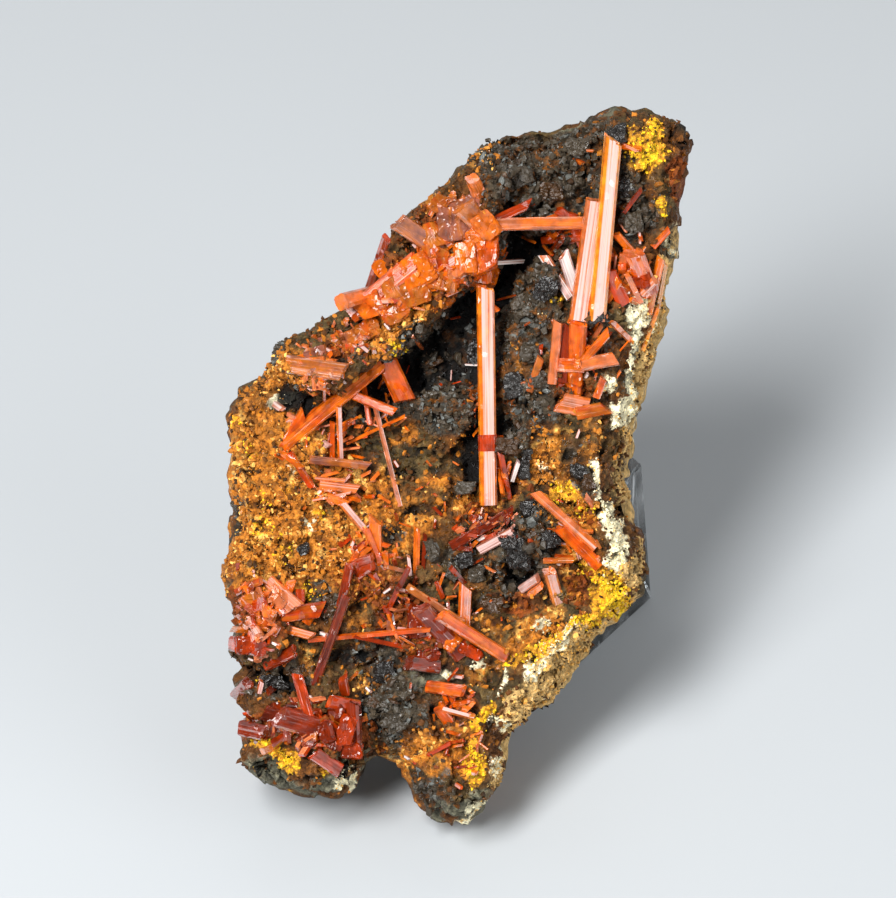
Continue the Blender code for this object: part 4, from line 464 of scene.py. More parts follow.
# The clusters of small prisms: middle x and y, half width, half height, number, lengths, widths, the way they
# point (degrees from x towards y) and how far they spread from it, and their finishes in turn.
CLUSTERS = {
    "ridge_top_druse": (-1.6, 87, 3, 2.6, 22, (0.8, 2.2), (0.4, 1.1), 60, 70, ("plum", "amber", "pink")),
    "ridge_centre_druse": (
        -4, 78, 5.4, 3.4, 64, (0.9, 3), (0.4, 1.4), 45, 70, ("orange", "amber", "gold", "pink"),
    ),
    "ridge_bright_druse": (3, 79, 3, 3.6, 36, (0.8, 2.2), (0.4, 1.2), 85, 60, ("orange", "gold", "orange")),
    "ridge_left_druse": (-10, 74, 4.4, 3, 40, (0.7, 2.4), (0.3, 1.1), 40, 80, ("amber", "orange", "pink")),
    "slope_druse": (
        -15.5, 67.6, 5.4, 2.8, 90, (0.5, 1.7), (0.3, 0.9), 60, 120, ("amber", "plum", "pink", "amber"),
    ),
    "lower_ridge_druse": (-20, 63.4, 4.4, 2, 26, (0.8, 2.4), (0.4, 1.1), 10, 50, ("plum", "orange", "pink")),
    "diagonal_splinters": (
        -18, 55, 6, 4.4, 30, (0.8, 3.2), (0.25, 0.7), 45, 50, ("orange", "pink", "scarlet"),
    ),
    "lattice_splinters": (-10, 58, 4, 4, 14, (0.8, 3), (0.2, 0.5), 80, 60, ("orange", "pink")),
    "fan_splinters": (
        17, 65, 3.6, 5, 44, (0.8, 2.8), (0.3, 1.1), 80, 60, ("orange", "scarlet", "pink", "orange"),
    ),
    "right_group_splinters": (
        25.2, 76.6, 2.6, 4.4, 46, (0.7, 2.6), (0.3, 1.2), 110, 70, ("orange", "pink", "orange"),
    ),
    "cross_bar_splinters": (14.6, 83, 4, 2, 16, (0.8, 3), (0.3, 0.8), 15, 50, ("scarlet", "orange")),
    "left_druse": (
        -27, 29.4, 4.4, 5, 90, (0.8, 2.6), (0.35, 1.3), 20, 180,
        ("pink", "amber", "scarlet", "pink", "orange"),
    ),
    "foot_druse": (
        -20.5, 14, 7.4, 3.6, 70, (0.8, 2.6), (0.4, 1.4), 160, 90, ("deep", "scarlet", "deep", "amber"),
    ),
    "centre_druse": (
        -5, 29.6, 7, 5.4, 64, (0.8, 3.2), (0.3, 1), 120, 90, ("scarlet", "orange", "deep", "plum"),
    ),
    "flame_druse": (-12, 37, 3.6, 3.6, 34, (0.8, 2.8), (0.3, 0.9), 90, 60, ("orange", "scarlet")),
    "amber_druse": (0, 17.4, 3, 3, 22, (0.8, 2.2), (0.3, 1), 10, 90, ("orange", "amber", "pink")),
    "right_rod_splinters": (
        17, 40, 3.6, 4.4, 22, (0.8, 2.6), (0.25, 0.8), 130, 50, ("pink", "orange", "amber"),
    ),
    "rust_splinters": (3.4, 41.4, 5, 2.6, 34, (0.8, 2.6), (0.3, 0.9), 30, 50, ("deep", "scarlet", "pink")),
    "pink_splinters": (-16, 47.6, 5, 3.4, 26, (0.8, 2.8), (0.25, 0.8), 0, 50, ("pink", "orange", "plum")),
    "long_prism_splinters": (6.6, 50, 2, 4, 12, (0.8, 2.6), (0.25, 0.6), 90, 60, ("scarlet", "orange")),
    "toe_splinters": (0, 9.6, 3.6, 4, 16, (0.6, 2.2), (0.25, 0.7), 20, 70, ("orange", "scarlet")),
    "scattered_splinters": (
        -3, 48, 20, 30, 90, (0.5, 1.8), (0.2, 0.5), 90, 180, ("orange", "amber", "scarlet"),
    ),
}

# The lumps of grown-together crystal: middle as (x, y, height over the rock), half width, half height and
# half depth, turn in degrees, finish, and how white they are, partly their own white and partly painted
# reflection.
CRYSTAL_LUMPS = {
    "ridge_plum_mass": [
        ((2, 85.6, 1), (3.6, 3.2, 2), 24, "plum", 0.1), ((4.4, 84, 1.4), (2, 2.2, 1.7), 40, "pink", 0.1),
        ((-0.4, 84.4, 0.9), (2.6, 2.8, 1.7), 0, "plum", 0.1),
        ((6, 83.6, 2), (0.8, 0.7, 0.7), 10, "white", 0.7),
        ((2.9, 89.4, 0.6), (1.2, 1.3, 0.9), 30, "pink", 0.4),
        ((-2.6, 82.6, 0.3), (2.2, 2, 1.4), 20, "amber", 0),
        ((-2.2, 87, 0.2), (2, 1.6, 1.1), 50, "amber", 0.1),
    ],
    "ridge_orange_mass": [
        ((4.2, 80.6, 0.6), (2, 3.6, 1.9), 0, "orange", 0.1),
        ((1.6, 79.6, 0.5), (2, 2.8, 1.7), 12, "orange", 0.2),
        ((5.2, 77.6, 0.5), (1, 1.9, 1.3), -8, "orange", 0.1),
        ((2.9, 82.6, 0.9), (2.2, 1.4, 1.6), 25, "orange", 0.1),
        ((-5, 77.6, 0.7), (2.8, 2.4, 1.7), 30, "orange", 0.1),
        ((-2.2, 76.4, 0.5), (2.2, 1.9, 1.5), -20, "amber", 0.2),
        ((-8.4, 75.2, 0.3), (2.2, 1.9, 1.4), 30, "amber", 0.1),
        ((-2, 79.6, 0.4), (2, 1.7, 1.4), 0, "amber", 0),
        ((-0.4, 77.2, 0.4), (1.6, 1.8, 1.3), 20, "orange", 0.1),
        ((-5.8, 74, 0.1), (2.4, 1.6, 1.2), 20, "amber", 0.1),
        ((-11.6, 73, 0.1), (2.4, 1.6, 1.2), 35, "orange", 0.1),
        ((-9.6, 78, 0.1), (2, 1.8, 1.1), 40, "orange", 0.1),
        ((-8.6, 71.6, 0), (2.2, 1.5, 1.1), 30, "amber", 0),
        ((-12.4, 69.4, 0), (2.2, 1.4, 1), 30, "amber", 0.1),
        ((-15.6, 67.4, 0), (2.2, 1.4, 1), 30, "plum", 0.1), ((-19.4, 66, 0), (2, 1.3, 0.9), 20, "plum", 0.1),
    ],
    "foot_red_mass": [
        ((-15.3, 13.2, 0.6), (1.5, 2.6, 1.9), -10, "scarlet", 0),
        ((-16.6, 15.6, 0.4), (1.6, 1.4, 1.5), 20, "deep", 0.1),
        ((-18, 13, 0.5), (1.3, 1.6, 1.6), 30, "deep", 0),
        ((-22.6, 14.9, 0.6), (2.1, 1.4, 1.6), 12, "deep", 0),
        ((-16.9, 11.4, 0.2), (1.2, 1.2, 1.1), -20, "deep", 0.2),
        ((-14, 15.8, 0.4), (1, 1.5, 1.3), 10, "deep", 0),
        ((-25.4, 15.6, 0.3), (1.5, 1.5, 1.2), 0, "deep", 0.1),
        ((-14.6, 10.4, 0.2), (1.6, 1.5, 1.2), 0, "scarlet", 0.1),
    ],
    "centre_red_mass": [
        ((-3.8, 24.2, 0.4), (2, 1.8, 1.4), 0, "deep", 0.05),
        ((-5.4, 28.6, 0.4), (1.3, 2.8, 1.2), 5, "deep", 0.1),
        ((-1.2, 26.4, 0.5), (2.7, 1.5, 1.4), -44, "orange", 0),
        ((2, 24.4, 0.3), (2.2, 1, 1), -36, "scarlet", 0),
    ],
    "left_red_mass": [
        ((-29.2, 25.2, 0.4), (2, 1.6, 1.4), 0, "scarlet", 0.2),
        ((-24.6, 31.8, 0.1), (1.8, 1.5, 1.1), -30, "pink", 0.2),
        ((-24.4, 23.4, 0.1), (1.7, 1.1, 1.1), 10, "scarlet", 0.2),
        ((-28.4, 31.4, 0.1), (1.6, 1.3, 1.1), 20, "amber", 0.2),
        ((-27.4, 24, 0.2), (1.2, 1.2, 1), 30, "pink", 0.3),
        ((-27, 28.4, 0.1), (1.5, 1.2, 1), 50, "amber", 0.2),
    ],
    "fan_core_mass": [
        ((17, 64.2, -0.2), (1.3, 3.2, 1.5), -4, "orange", 0),
        ((26, 76.8, 0.3), (1.6, 1.9, 1.3), 10, "scarlet", 0.2),
        ((-20.6, 56, 0.2), (3.4, 1.1, 1.1), 52, "orange", 0),
        ((-12.8, 36.4, 0.3), (1.4, 1.2, 1), 0, "scarlet", 0),
    ],
}

# The dark, bright lumps, in the same form. Those with no finish named are of goethite.
GOETHITE_LUMPS = [
    ((8.8, 37.8, 0.9), (1.7, 2.3, 1.7), 8), ((7.6, 39.9, 0.6), (1.3, 1.2, 1.2), 30),
    ((13.3, 39.9, 0.7), (1.7, 1.2, 1.2), 10), ((11.4, 41.2, 0.3), (1.4, 1, 1), 40),
    ((10.3, 44.4, 0.5), (1.2, 1.3, 1), 0), ((17.4, 49.4, 0.4), (1.5, 1, 1), -15),
    ((18.8, 47.8, 0.3), (0.9, 1, 0.8), 20), ((7.3, 52.9, 0.6), (2, 1.1, 1.1), -10, "black", 0),
    ((9.7, 49.6, 0.3), (0.7, 1.6, 0.8), 5), ((10.2, 51.8, 0.3), (0.8, 0.9, 0.8), 0),
    ((1.3, 37.2, 0.5), (1.5, 1.2, 1), 20), ((3, 35.2, 0.3), (1.2, 1, 0.9), 0, "black", 0),
    ((-0.6, 35.6, 0.2), (1.1, 1.3, 0.8), 60, "black", 0), ((5.2, 31, 0.3), (1.6, 1, 0.8), -10),
    ((-3.2, 38.4, 0.3), (0.7, 1.3, 0.7), 20, "black", 0), ((1.4, 47.3, 0.3), (1.4, 0.9, 0.7), 0, "black", 0),
    ((-21.2, 38.6, 0.2), (0.9, 0.6, 0.6), 10), ((-17.6, 31, 0.3), (1, 1.7, 0.8), 0),
    ((-25.4, 19.8, 0.3), (1.9, 1.4, 1), 10), ((-22, 21.6, 0.3), (1.6, 1.4, 1), 40, "black", 0),
    ((-10, 21.4, 0.3), (1.8, 1.3, 1), 10), ((-8, 14.6, 0.3), (1.5, 1.3, 0.9), 30, "black", 0),
    ((-10.4, 17.4, 0.3), (1.4, 1.2, 0.9), 0, "black", 0), ((-24.4, 66.4, 0), (1.2, 1, 0.8), 0, "black", 0),
    ((10.6, 66, 0.3), (1.4, 1.5, 1), 0, "black", 0), ((8.4, 61.6, 0.4), (1.5, 1.8, 1.1), 20),
    ((11.6, 62.4, 0.3), (1.2, 1.2, 0.9), 0, "black", 0), ((9.4, 72.6, 0.4), (1.7, 1.9, 1.1), 30, "black", 0),
    ((12.6, 75, 0.4), (1.4, 1.8, 1), -20), ((19.6, 71.2, 0.5), (1.6, 1, 0.9), 10),
    ((9, 90.6, 0.4), (2, 1.6, 1.1), 20, "black", 0), ((13.4, 88.6, 0.3), (1.9, 1.4, 1), 0),
    ((17.2, 95, 0.3), (1.8, 1.2, 1), 10, "black", 0), ((16.4, 90.6, 0.3), (1.5, 1.6, 0.9), 30, "black", 0),
    ((22.8, 96.6, 0.4), (1.7, 1.3, 1), 20), ((25, 84.4, 0.4), (1.5, 1.6, 1), 0, "black", 0),
    ((24.4, 89.4, 0.3), (1.3, 1.5, 0.9), 10), ((3.4, 66, 0.2), (1.6, 2, 1), 0),
]

# Small crystals that can be made out one by one: foot x and y, tip x and y, width, and the finish and how
# white, where that is not a full white. Those given no finish are white flashes off small faces: their white
# is a painted highlight.
SMALL_CRYSTALS = {
    "upper_small_crystals": [
        (23.3, 95.5, 25.6, 94.4, 0.5, "pink", 0.8), (17, 94.6, 19.4, 94.4, 0.4, "pink", 0.6),
        (16.6, 93.2, 17.9, 92.6, 0.7, "amber", 0.3), (14, 86.1, 17, 85.1, 0.9, "scarlet", 0.2),
        (15.2, 85.6, 12.8, 84.9, 0.6, "orange", 0.2), (22, 80.8, 22.7, 79.4, 0.5, "pink", 0.5),
        (23, 84.4, 24, 83, 0.3, "pink", 0.9), (12.4, 81.2, 13.6, 79.8, 0.5, "amber", 0.3),
        (9.8, 87.6, 11, 86.8, 0.5, "scarlet", 0.3),
    ],
    "right_small_crystals": [
        (24.3, 76.3, 25.5, 74.5, 0.5), (22.2, 75.7, 22.8, 75.2, 0.5), (24, 74.2, 24.5, 74.7, 0.4),
        (21.2, 73.4, 23, 76.4, 1.2, "orange", 0.2), (26.2, 66.4, 28.4, 72.4, 0.7, "gold", 0.4),
        (28.4, 72.4, 29.5, 78.6, 0.7, "gold", 0.4), (27.8, 70.4, 29.2, 75.6, 0.5, "gold", 0.7),
        (19.4, 70.2, 21.4, 71.2, 0.5, "pink", 0.6), (18.1, 62.4, 18.6, 63.2, 0.5), (16, 61, 16.5, 61.6, 0.4),
        (18, 67.4, 18.5, 68.2, 0.4), (13, 58.6, 15, 58.2, 0.6, "deep", 0.1),
        (19.4, 68.2, 20.6, 70, 0.6, "pink", 0.5), (22.4, 62.4, 23.2, 63.6, 0.4, "pink", 0.7),
    ],
    "middle_small_crystals": [
        (5.8, 73.5, 8.5, 74.2, 0.3, "amber", 0.4), (8.5, 74.2, 9.6, 73.2, 0.3, "amber", 0.4),
        (1.3, 64.5, 3.2, 64.4, 0.3), (4.5, 54.4, 6.6, 54.3, 0.5, "orange", 0.2),
        (5.9, 51.5, 6.7, 46.3, 0.6, "orange", 0.2), (6.5, 51.5, 7, 48.5, 0.7, "pink", 0.4),
        (3.2, 39.9, 4.2, 40.4, 0.5), (4.6, 40.2, 5.6, 40.6, 0.6), (6, 40.6, 6.9, 41.2, 0.5),
        (7.8, 41.4, 8.3, 42, 0.4), (14, 37.6, 16.4, 37.4, 0.7, "amber", 0.5), (14.2, 36.6, 14.8, 36.4, 0.4),
        (9.3, 33, 11.6, 34.6, 1.2, "white", 0.6), (10.4, 32.2, 12.2, 33.6, 1, "pink", 0.7),
        (4.2, 36.2, 5.6, 35.4, 0.4, "pink", 0.7), (8.6, 61.6, 9.8, 62, 0.3, "pink", 0.8),
    ],
    "left_small_crystals": [
        (-6, 68.5, -4.6, 66.7, 0.5, "pink", 0.5), (-24.5, 52.3, -21.5, 50, 0.8, "orange", 0.2),
        (-18.6, 53.6, -17.6, 53, 0.8), (-25.3, 59, -24.2, 58.2, 1, "white", 0.7),
        (-23.4, 57.6, -22.4, 57, 0.7), (-13.9, 53.6, -13.2, 52.8, 0.3, "gold", 0.8),
        (-20, 45.5, -14.6, 46.6, 0.5, "pink", 0.8), (-19.6, 48.6, -15.4, 48.2, 0.5, "pink", 0.7),
        (-22.4, 62.6, -19.4, 60.2, 0.9, "pink", 0.3), (-17.6, 68.6, -16.8, 67.8, 0.7),
        (-16.2, 69.2, -15.6, 68.4, 0.5), (-18.2, 66.8, -17.4, 66.4, 0.5, "white", 0.9),
        (-13.2, 68.6, -12.6, 68, 0.4, "white", 0.9), (-9.8, 70.2, -9.2, 69.4, 0.4, "white", 0.8),
        (-7, 73.4, -6.4, 74.2, 0.4, "white", 0.8), (-12.6, 56.6, -10.2, 55.6, 0.3, "pink", 0.8),
        (-10, 32.5, -9, 33.2, 0.4), (-9.5, 29.8, -8, 26, 0.5, "pink", 0.3),
        (-5.3, 28.6, -3.9, 29.8, 1.1, "white", 0.7),
    ],
    "lower_small_crystals": [
        (-24.2, 32.2, -22.6, 30.4, 1.3), (-28.4, 27.7, -27.6, 27.2, 0.7), (-23.2, 27.1, -22.4, 26.7, 0.6),
        (-25.7, 25.6, -24.9, 25.2, 0.5), (-18.8, 26.9, -18, 26.6, 0.5), (-28.9, 23.3, -28.2, 23, 0.4),
        (-30.4, 28.6, -29.2, 27.6, 0.7, "white", 0.9), (-20.6, 15.6, -20.2, 18, 0.5, "white", 0.9),
        (-28.6, 14.2, -26.4, 13.6, 0.5, "white", 0.8), (-15.6, 12.8, -14.4, 11.4, 0.3, "white", 0.6),
        (-24.6, 15.4, -24, 14.8, 0.6), (-23.6, 13, -23.2, 12.6, 0.5), (-3.4, 22.8, -2.8, 22.3, 0.4),
        (-4.8, 22.4, -3.6, 21.8, 0.8, "scarlet", 0.2), (-2, 13.4, 0.6, 12.6, 0.5, "orange", 0.3),
        (0.4, 17, 2.2, 17.4, 0.6, "orange", 0.3), (-7, 9.6, -6.4, 9.2, 0.4),
        (-14.8, 20.2, -13.6, 21.4, 0.4, "amber", 0.3), (-15.8, 19.8, -15.2, 21.6, 0.4, "amber", 0.2),
        (-12.4, 19.2, -11.8, 18.6, 0.5),
    ],
}

MINERALS = ("ash", "tan", "black", "ochre", "yellow", "cream", "rust")


def place_of_solids():
    """The shift in metres from the face frame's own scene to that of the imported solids: across the ground by
    where the clear block stands, and up by the level at which the slab's feet are cut."""
    low, high = (np.array(corner, float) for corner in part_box("clear_block"))
    middle = (low + high) / 2
    return np.array([middle[0] - BLOCK_CENTRE[0] * MM, middle[1] - BLOCK_CENTRE[1] * MM, -GROUND_LEVEL * MM])


SHIFT = place_of_solids()


def to_world(points):
    """Points as seen in the face frame, in millimetres, as points of the scene, in metres: spread about the
    centre of view by their depth, turned back with the face, and shifted."""
    points = np.asarray(points, float)
    w = points[..., 2]
    spread = 1 - w / VIEW_DISTANCE
    x = VIEW_CENTRE[0] + (points[..., 0] - VIEW_CENTRE[0]) * spread
    y = VIEW_CENTRE[1] + (points[..., 1] - VIEW_CENTRE[1]) * spread
    sine, cosine = math.sin(math.radians(LEAN)), math.cos(math.radians(LEAN))
    return np.stack([x, y * sine - w * cosine, y * cosine + w * sine], axis=-1) * MM + SHIFT


def smooth_step(value):
    """0 below 0, 1 above 1, and a smooth rise between them."""
    value = np.clip(value, 0, 1)
    return value * value * (3 - 2 * value)


def lattice_values(cells, seed):
    """A fixed random number from 0 to 1 for each whole-numbered cell, by an integer hash."""
    mixed = seed * 1013
    for cell, prime in zip(cells, (73856093, 19349663, 83492791)):
        mixed = mixed ^ (cell.astype(np.int64) * prime)
    mixed = (mixed ^ (mixed >> 13)) * 1274126177
    mixed = mixed ^ (mixed >> 16)
    return (mixed & 0xFFFFF) / float(0xFFFFF)


def roll_noise(x, y, wavelength, seed):
    """Smooth noise from -1 to 1: the random corners of a square lattice, blended across each square."""
    u, v = x / wavelength, y / wavelength
    i, j = np.floor(u), np.floor(v)
    a, b = smooth_step(u - i), smooth_step(v - j)
    corner = {(p, q): lattice_values((i + p, j + q), seed) for p in (0, 1) for q in (0, 1)}
    low, high = (corner[0, q] * (1 - a) + corner[1, q] * a for q in (0, 1))
    return 2 * (low * (1 - b) + high * b) - 1


def nearest_seeds(points, cell, seed):
    """For each point, the nearest of the seeds that are scattered one to a cell through space: the square of
    the distance to it in cells, and the height of its tilted plane there."""
    at = np.moveaxis(np.asarray(points, float) / cell, -1, 0)
    base = np.floor(at)
    nearest = np.full(at.shape[1:], FAR)
    height = np.zeros(at.shape[1:])
    for step in np.ndindex(3, 3, 3):
        cells = [base[axis] + step[axis] - 1 for axis in range(3)]
        away = [at[axis] - cells[axis] - lattice_values(cells, seed + axis) for axis in range(3)]
        distance = sum(part * part for part in away)
        tilts = [2 * PLANE_TILT * lattice_values(cells, seed + 3 + axis) - PLANE_TILT for axis in range(3)]
        plane = 2 * PLANE_STEP * lattice_values(cells, seed + 6) - PLANE_STEP
        plane = plane + sum(tilt * part for tilt, part in zip(tilts, away))
        closer = distance < nearest
        nearest = np.where(closer, distance, nearest)
        height = np.where(closer, plane, height)
    return nearest, height


def crag_noise(points, cell, seed):
    """Broken facets from about -1 to 1: each point takes the tilted plane of its nearest seed."""
    return nearest_seeds(points, cell, seed)[1]


def grain_noise(points, cell, seed):
    """Rounded grains from 0 in the creases between them to 1 on their crowns."""
    return 1 - np.clip(nearest_seeds(points, cell, seed)[0] / GRAIN_REACH, 0, 1)


def inside_by(x, y, outline):
    """Signed distance to a closed outline, positive inside it."""
    distance = np.full(np.shape(x), FAR)
    inside = np.zeros(np.shape(x), bool)
    for (ax, ay), (bx, by) in zip(outline, outline[1:] + outline[:1]):
        ex, ey = bx - ax, by - ay
        share = np.clip(((x - ax) * ex + (y - ay) * ey) / (ex * ex + ey * ey), 0, 1)
        distance = np.minimum(distance, np.hypot(x - ax - share * ex, y - ay - share * ey))
        if ay != by:
            crosses = (ay > y) != (by > y)
            inside = inside ^ (crosses & (x < ax + (y - ay) * ex / ey))
    return np.where(inside, distance, -distance)


def lump_at(x, y, middle_x, middle_y, half_x, half_y, rise, turn=0):
    """One round-topped lump: a bell over a turned ellipse."""
    c, s = math.cos(math.radians(turn)), math.sin(math.radians(turn))
    u = ((x - middle_x) * c + (y - middle_y) * s) / half_x
    v = ((y - middle_y) * c - (x - middle_x) * s) / half_y
    return rise * np.exp(-(u * u + v * v))


def lumps_at(x, y, lumps):
    """The sum of the lumps of a table."""
    return sum(lump_at(x, y, *lump) for lump in lumps)


def face_height(x, y):
    """Height of the face without its crags: terraces and lumps."""
    height = lumps_at(x, y, LUMPS)
    for outline, rise, step in TERRACES:
        height = height + rise * smooth_step(inside_by(x, y, outline) / step + 0.5)
    return height


def edge_drop(inset, width, drop):
    """How far the face has fallen at a distance inset from an edge: a chamfer with an eased rim."""
    return drop * (1 - np.clip(inset / width, 0, 1)) ** 1.3


def along_edge(table, at):
    """An edge table read at the given places."""
    keys, values = np.array(table, float).T
    return np.interp(at, keys, values)


def crowded_steps(count, share):
    """Steps from 0 to 1 that crowd towards both ends: a share of cosine steps, and the rest even ones."""
    cosine = (1 - np.cos(np.linspace(0, math.pi, count + 1))) / 2
    return cosine * share + (1 - share) * np.linspace(0, 1, count + 1)


def outline_grid():
    """The slab's outline filled with a grid: across each row from the left edge to the right one, with the
    bottom and top edges' own shape fading out over the nearest rows. Returns x, y and the two parameters."""
    s, t = np.meshgrid(crowded_steps(GRID_ACROSS, 0.5), crowded_steps(GRID_UP, 0.4))
    left_y, right_y = (edge[0][0] + t * (edge[-1][0] - edge[0][0]) for edge in (LEFT_EDGE, RIGHT_EDGE))
    x = (1 - s) * along_edge(LEFT_EDGE, left_y) + s * along_edge(RIGHT_EDGE, right_y)
    y = (1 - s) * left_y + s * right_y
    for table, fade in ((BOTTOM_EDGE, (1 - t) ** 5), (TOP_EDGE, t ** 5)):
        start, end = np.array(table[0], float), np.array(table[-1], float)
        edge_x = start[0] + s * (end[0] - start[0])
        straight = start[1] + s * (end[1] - start[1])
        y = y + fade * (along_edge(table, edge_x) - straight)
    return x, y, s, t


def insets(x, y, s, t):
    """Distance of each grid point from the four edges, in millimetres."""
    width = x[:, -1:] - x[:, :1]
    height = y[-1:, :] - y[:1, :]
    return s * width, (1 - s) * width, t * height, (1 - t) * height


def edge_drops(left, right, bottom, top, y):
    """The greatest of the falls to the four edges, given the distances from them."""
    wall_y, wall_width, wall_drop = np.array(RIGHT_WALL, float).T
    return np.maximum.reduce([
        edge_drop(left, *LEFT_BEVEL),
        edge_drop(right, np.interp(y, wall_y, wall_width), np.interp(y, wall_y, wall_drop)),
        edge_drop(bottom, *BOTTOM_BEVEL),
        edge_drop(top, *TOP_BEVEL),
    ])


def outward(sheet):
    """Unit normals of a grid of points, on the side that the face's are."""
    across = np.gradient(sheet, axis=1)
    up = np.gradient(sheet, axis=0)
    normal = np.cross(across, up)
    return normal / np.maximum(np.linalg.norm(normal, axis=-1, keepdims=True), 1e-9)


def rock_sheets():
    """The front and the back sheet of the slab in the face frame, which meet all round the outline, as the
    solid's own formula gives them, and the distance of each point from the nearest edge."""
    x, y, s, t = outline_grid()
    sides = insets(x, y, s, t)
    inset = np.minimum.reduce(sides)
    settle = smooth_step(inset / EDGE_SETTLE)
    smooth = face_height(x, y) * settle - edge_drops(*sides, y)
    front = np.stack([x, y, smooth], -1)
    rough = FACE_CRAGS[1] * crag_noise(front, FACE_CRAGS[0], SEED)
    front[..., 2] += (rough + ROLL[1] * roll_noise(x, y, ROLL[0], SEED + 10)) * settle
    rounding = np.sqrt(np.clip(1 - (1 - np.clip(inset / BACK_ROUND, 0, 1)) ** 2, 0, 1))
    depth = SLAB_DEPTH + lumps_at(x, y, BACK_LUMPS)
    level = front[..., 2] * (1 - rounding) - depth * rounding
    back = np.stack([x, y, np.minimum(level, front[..., 2] - LEAST_DEPTH * rounding)], -1)
    sunk = crag_noise(back, BACK_CRAGS[0], SEED + 20) - BACK_EDGE_SINK * (1 - rounding)
    back = back - outward(back) * (BACK_CRAGS[1] * sunk * settle)[..., None]
    border = np.ones(x.shape, bool)
    border[1:-1, 1:-1] = False
    back[border] = front[border]
    return front, back, inset


def mineral_weights(sheet, inset):
    """How much of each mineral shows at each point of the face: the sum of its patches, each a bell over a
    turned ellipse, read at places that two sizes of noise push aside, so that no patch has a round edge. Down
    the sides a third one, which depth counts in, pushes them further, so that no patch becomes a stripe."""
    x, y, z = np.moveaxis(sheet, -1, 0)
    steep = np.clip(-z - 2, 0, 3) * smooth_step(2 - inset / 2.5)
    x = x + steep * smooth_step((20 - x) / 8) * roll_noise(z, y, 2.6, 46)
    y = y + steep * roll_noise(z, x, 2.6, 47)
    for size, push, seed in ((3.4, 1.1, 40), (1.3, 0.6, 44)):
        pushes = [push * roll_noise(x, y, size, seed + way) for way in (0, 1)]
        x, y = x + pushes[0], y + pushes[1]
    return {name: np.clip(lumps_at(x, y, ZONES[name]), 0, 1.5) for name in MINERALS}


def back_weights(sheet):
    """The same for the back, which no photograph shows: broad ochre and brown with dark patches. Depth counts
    as well, so that the patches do not run on as stripes down the sides."""
    x, y = sheet[..., 0] + 0.9 * sheet[..., 2], sheet[..., 1] - 0.7 * sheet[..., 2]
    broad = roll_noise(x, y, 13.0, 60) + 0.5 * roll_noise(x, y, 4.1, 61)
    other = roll_noise(x, y, 9.0, 62) + 0.5 * roll_noise(x, y, 3.3, 63)
    return {
        "black": np.clip(broad, 0, 1),
        "ochre": np.clip(0.4 - broad, 0, 1),
        "yellow": np.clip(other - 0.8, 0, 1),
        "cream": np.clip(-other - 0.9, 0, 1),
        "rust": np.clip(other * 0.7, 0, 1),
        "ash": np.clip(roll_noise(x, y, 17.0, 64), 0, 1),
        "tan": np.clip(roll_noise(x, y, 15.0, 65) + 0.2, 0, 1),
    }


# The finer relief of each kind of ground: kind of noise, its size and height in millimetres and its seed,
# then how far their sum is lowered.
DARK_GROUND = [(crag_noise, 2.6, 0.8, 71), (grain_noise, 1.5, 0.7, 75), (crag_noise, 0.9, 0.4, 81)], 0.3
GRAINY_GROUND = [(grain_noise, 1.7, 0.95, 91), (grain_noise, 0.85, 0.5, 101)], 0.75
PLAIN_GROUND = [(crag_noise, 1.9, 0.75, 111), (grain_noise, 0.9, 0.45, 121)], 0.2


def grit(sheet, weights, settle):
    """The finer relief of a sheet, in millimetres along its normals: a roll over all of it, sharp fragments
    where it is black, rounded granules with pits between them where it is ochre, yellow or cream, and blunt
    broken lumps in the rest."""
    x, y = sheet[..., 0], sheet[..., 1]
    dark = np.clip(weights["black"], 0, 1)
    grainy = np.clip(weights["ochre"] + weights["yellow"] + 0.6 * weights["cream"], 0, 1) * (1 - 0.7 * dark)
    plain = np.clip(1 - dark - grainy, 0, 1)
    pits = smooth_step((roll_noise(x, y, 2.6, 75) - 0.25) / 0.5)
    relief = 0.45 * roll_noise(x, y, 3.1, 70) - 0.9 * pits * (1 - 0.4 * dark)
    for share, (noises, lowered) in ((dark, DARK_GROUND), (grainy, GRAINY_GROUND), (plain, PLAIN_GROUND)):
        rough = sum(height * noise(sheet, size, seed) for noise, size, height, seed in noises)
        relief = relief + share * (rough - lowered)
    return np.clip(relief, -1.8, 1.6) * settle


def frayed(x, y, settle):
    """The outline's own small unevenness: two offsets in millimetres that fade out away from it."""
    along, up = (
        0.5 * roll_noise(x, y, 1.7, seed) + 0.3 * roll_noise(x, y, 0.8, seed + 2) for seed in (130, 131)
    )
    return x + along * (1 - settle), y + up * (1 - settle)


def near_mean(values, reach):
    """The mean of a grid over a square of neighbours, by sums along each axis in turn."""
    width = 2 * reach + 1
    for axis in (0, 1):
        margins = [(reach, reach) if each == axis else (0, 0) for each in (0, 1)]
        total = np.insert(np.cumsum(np.pad(values, margins, "edge"), axis), 0, 0.0, axis)
        at = np.arange(values.shape[axis])
        values = (np.take(total, at + width, axis) - np.take(total, at, axis)) / width
    return values


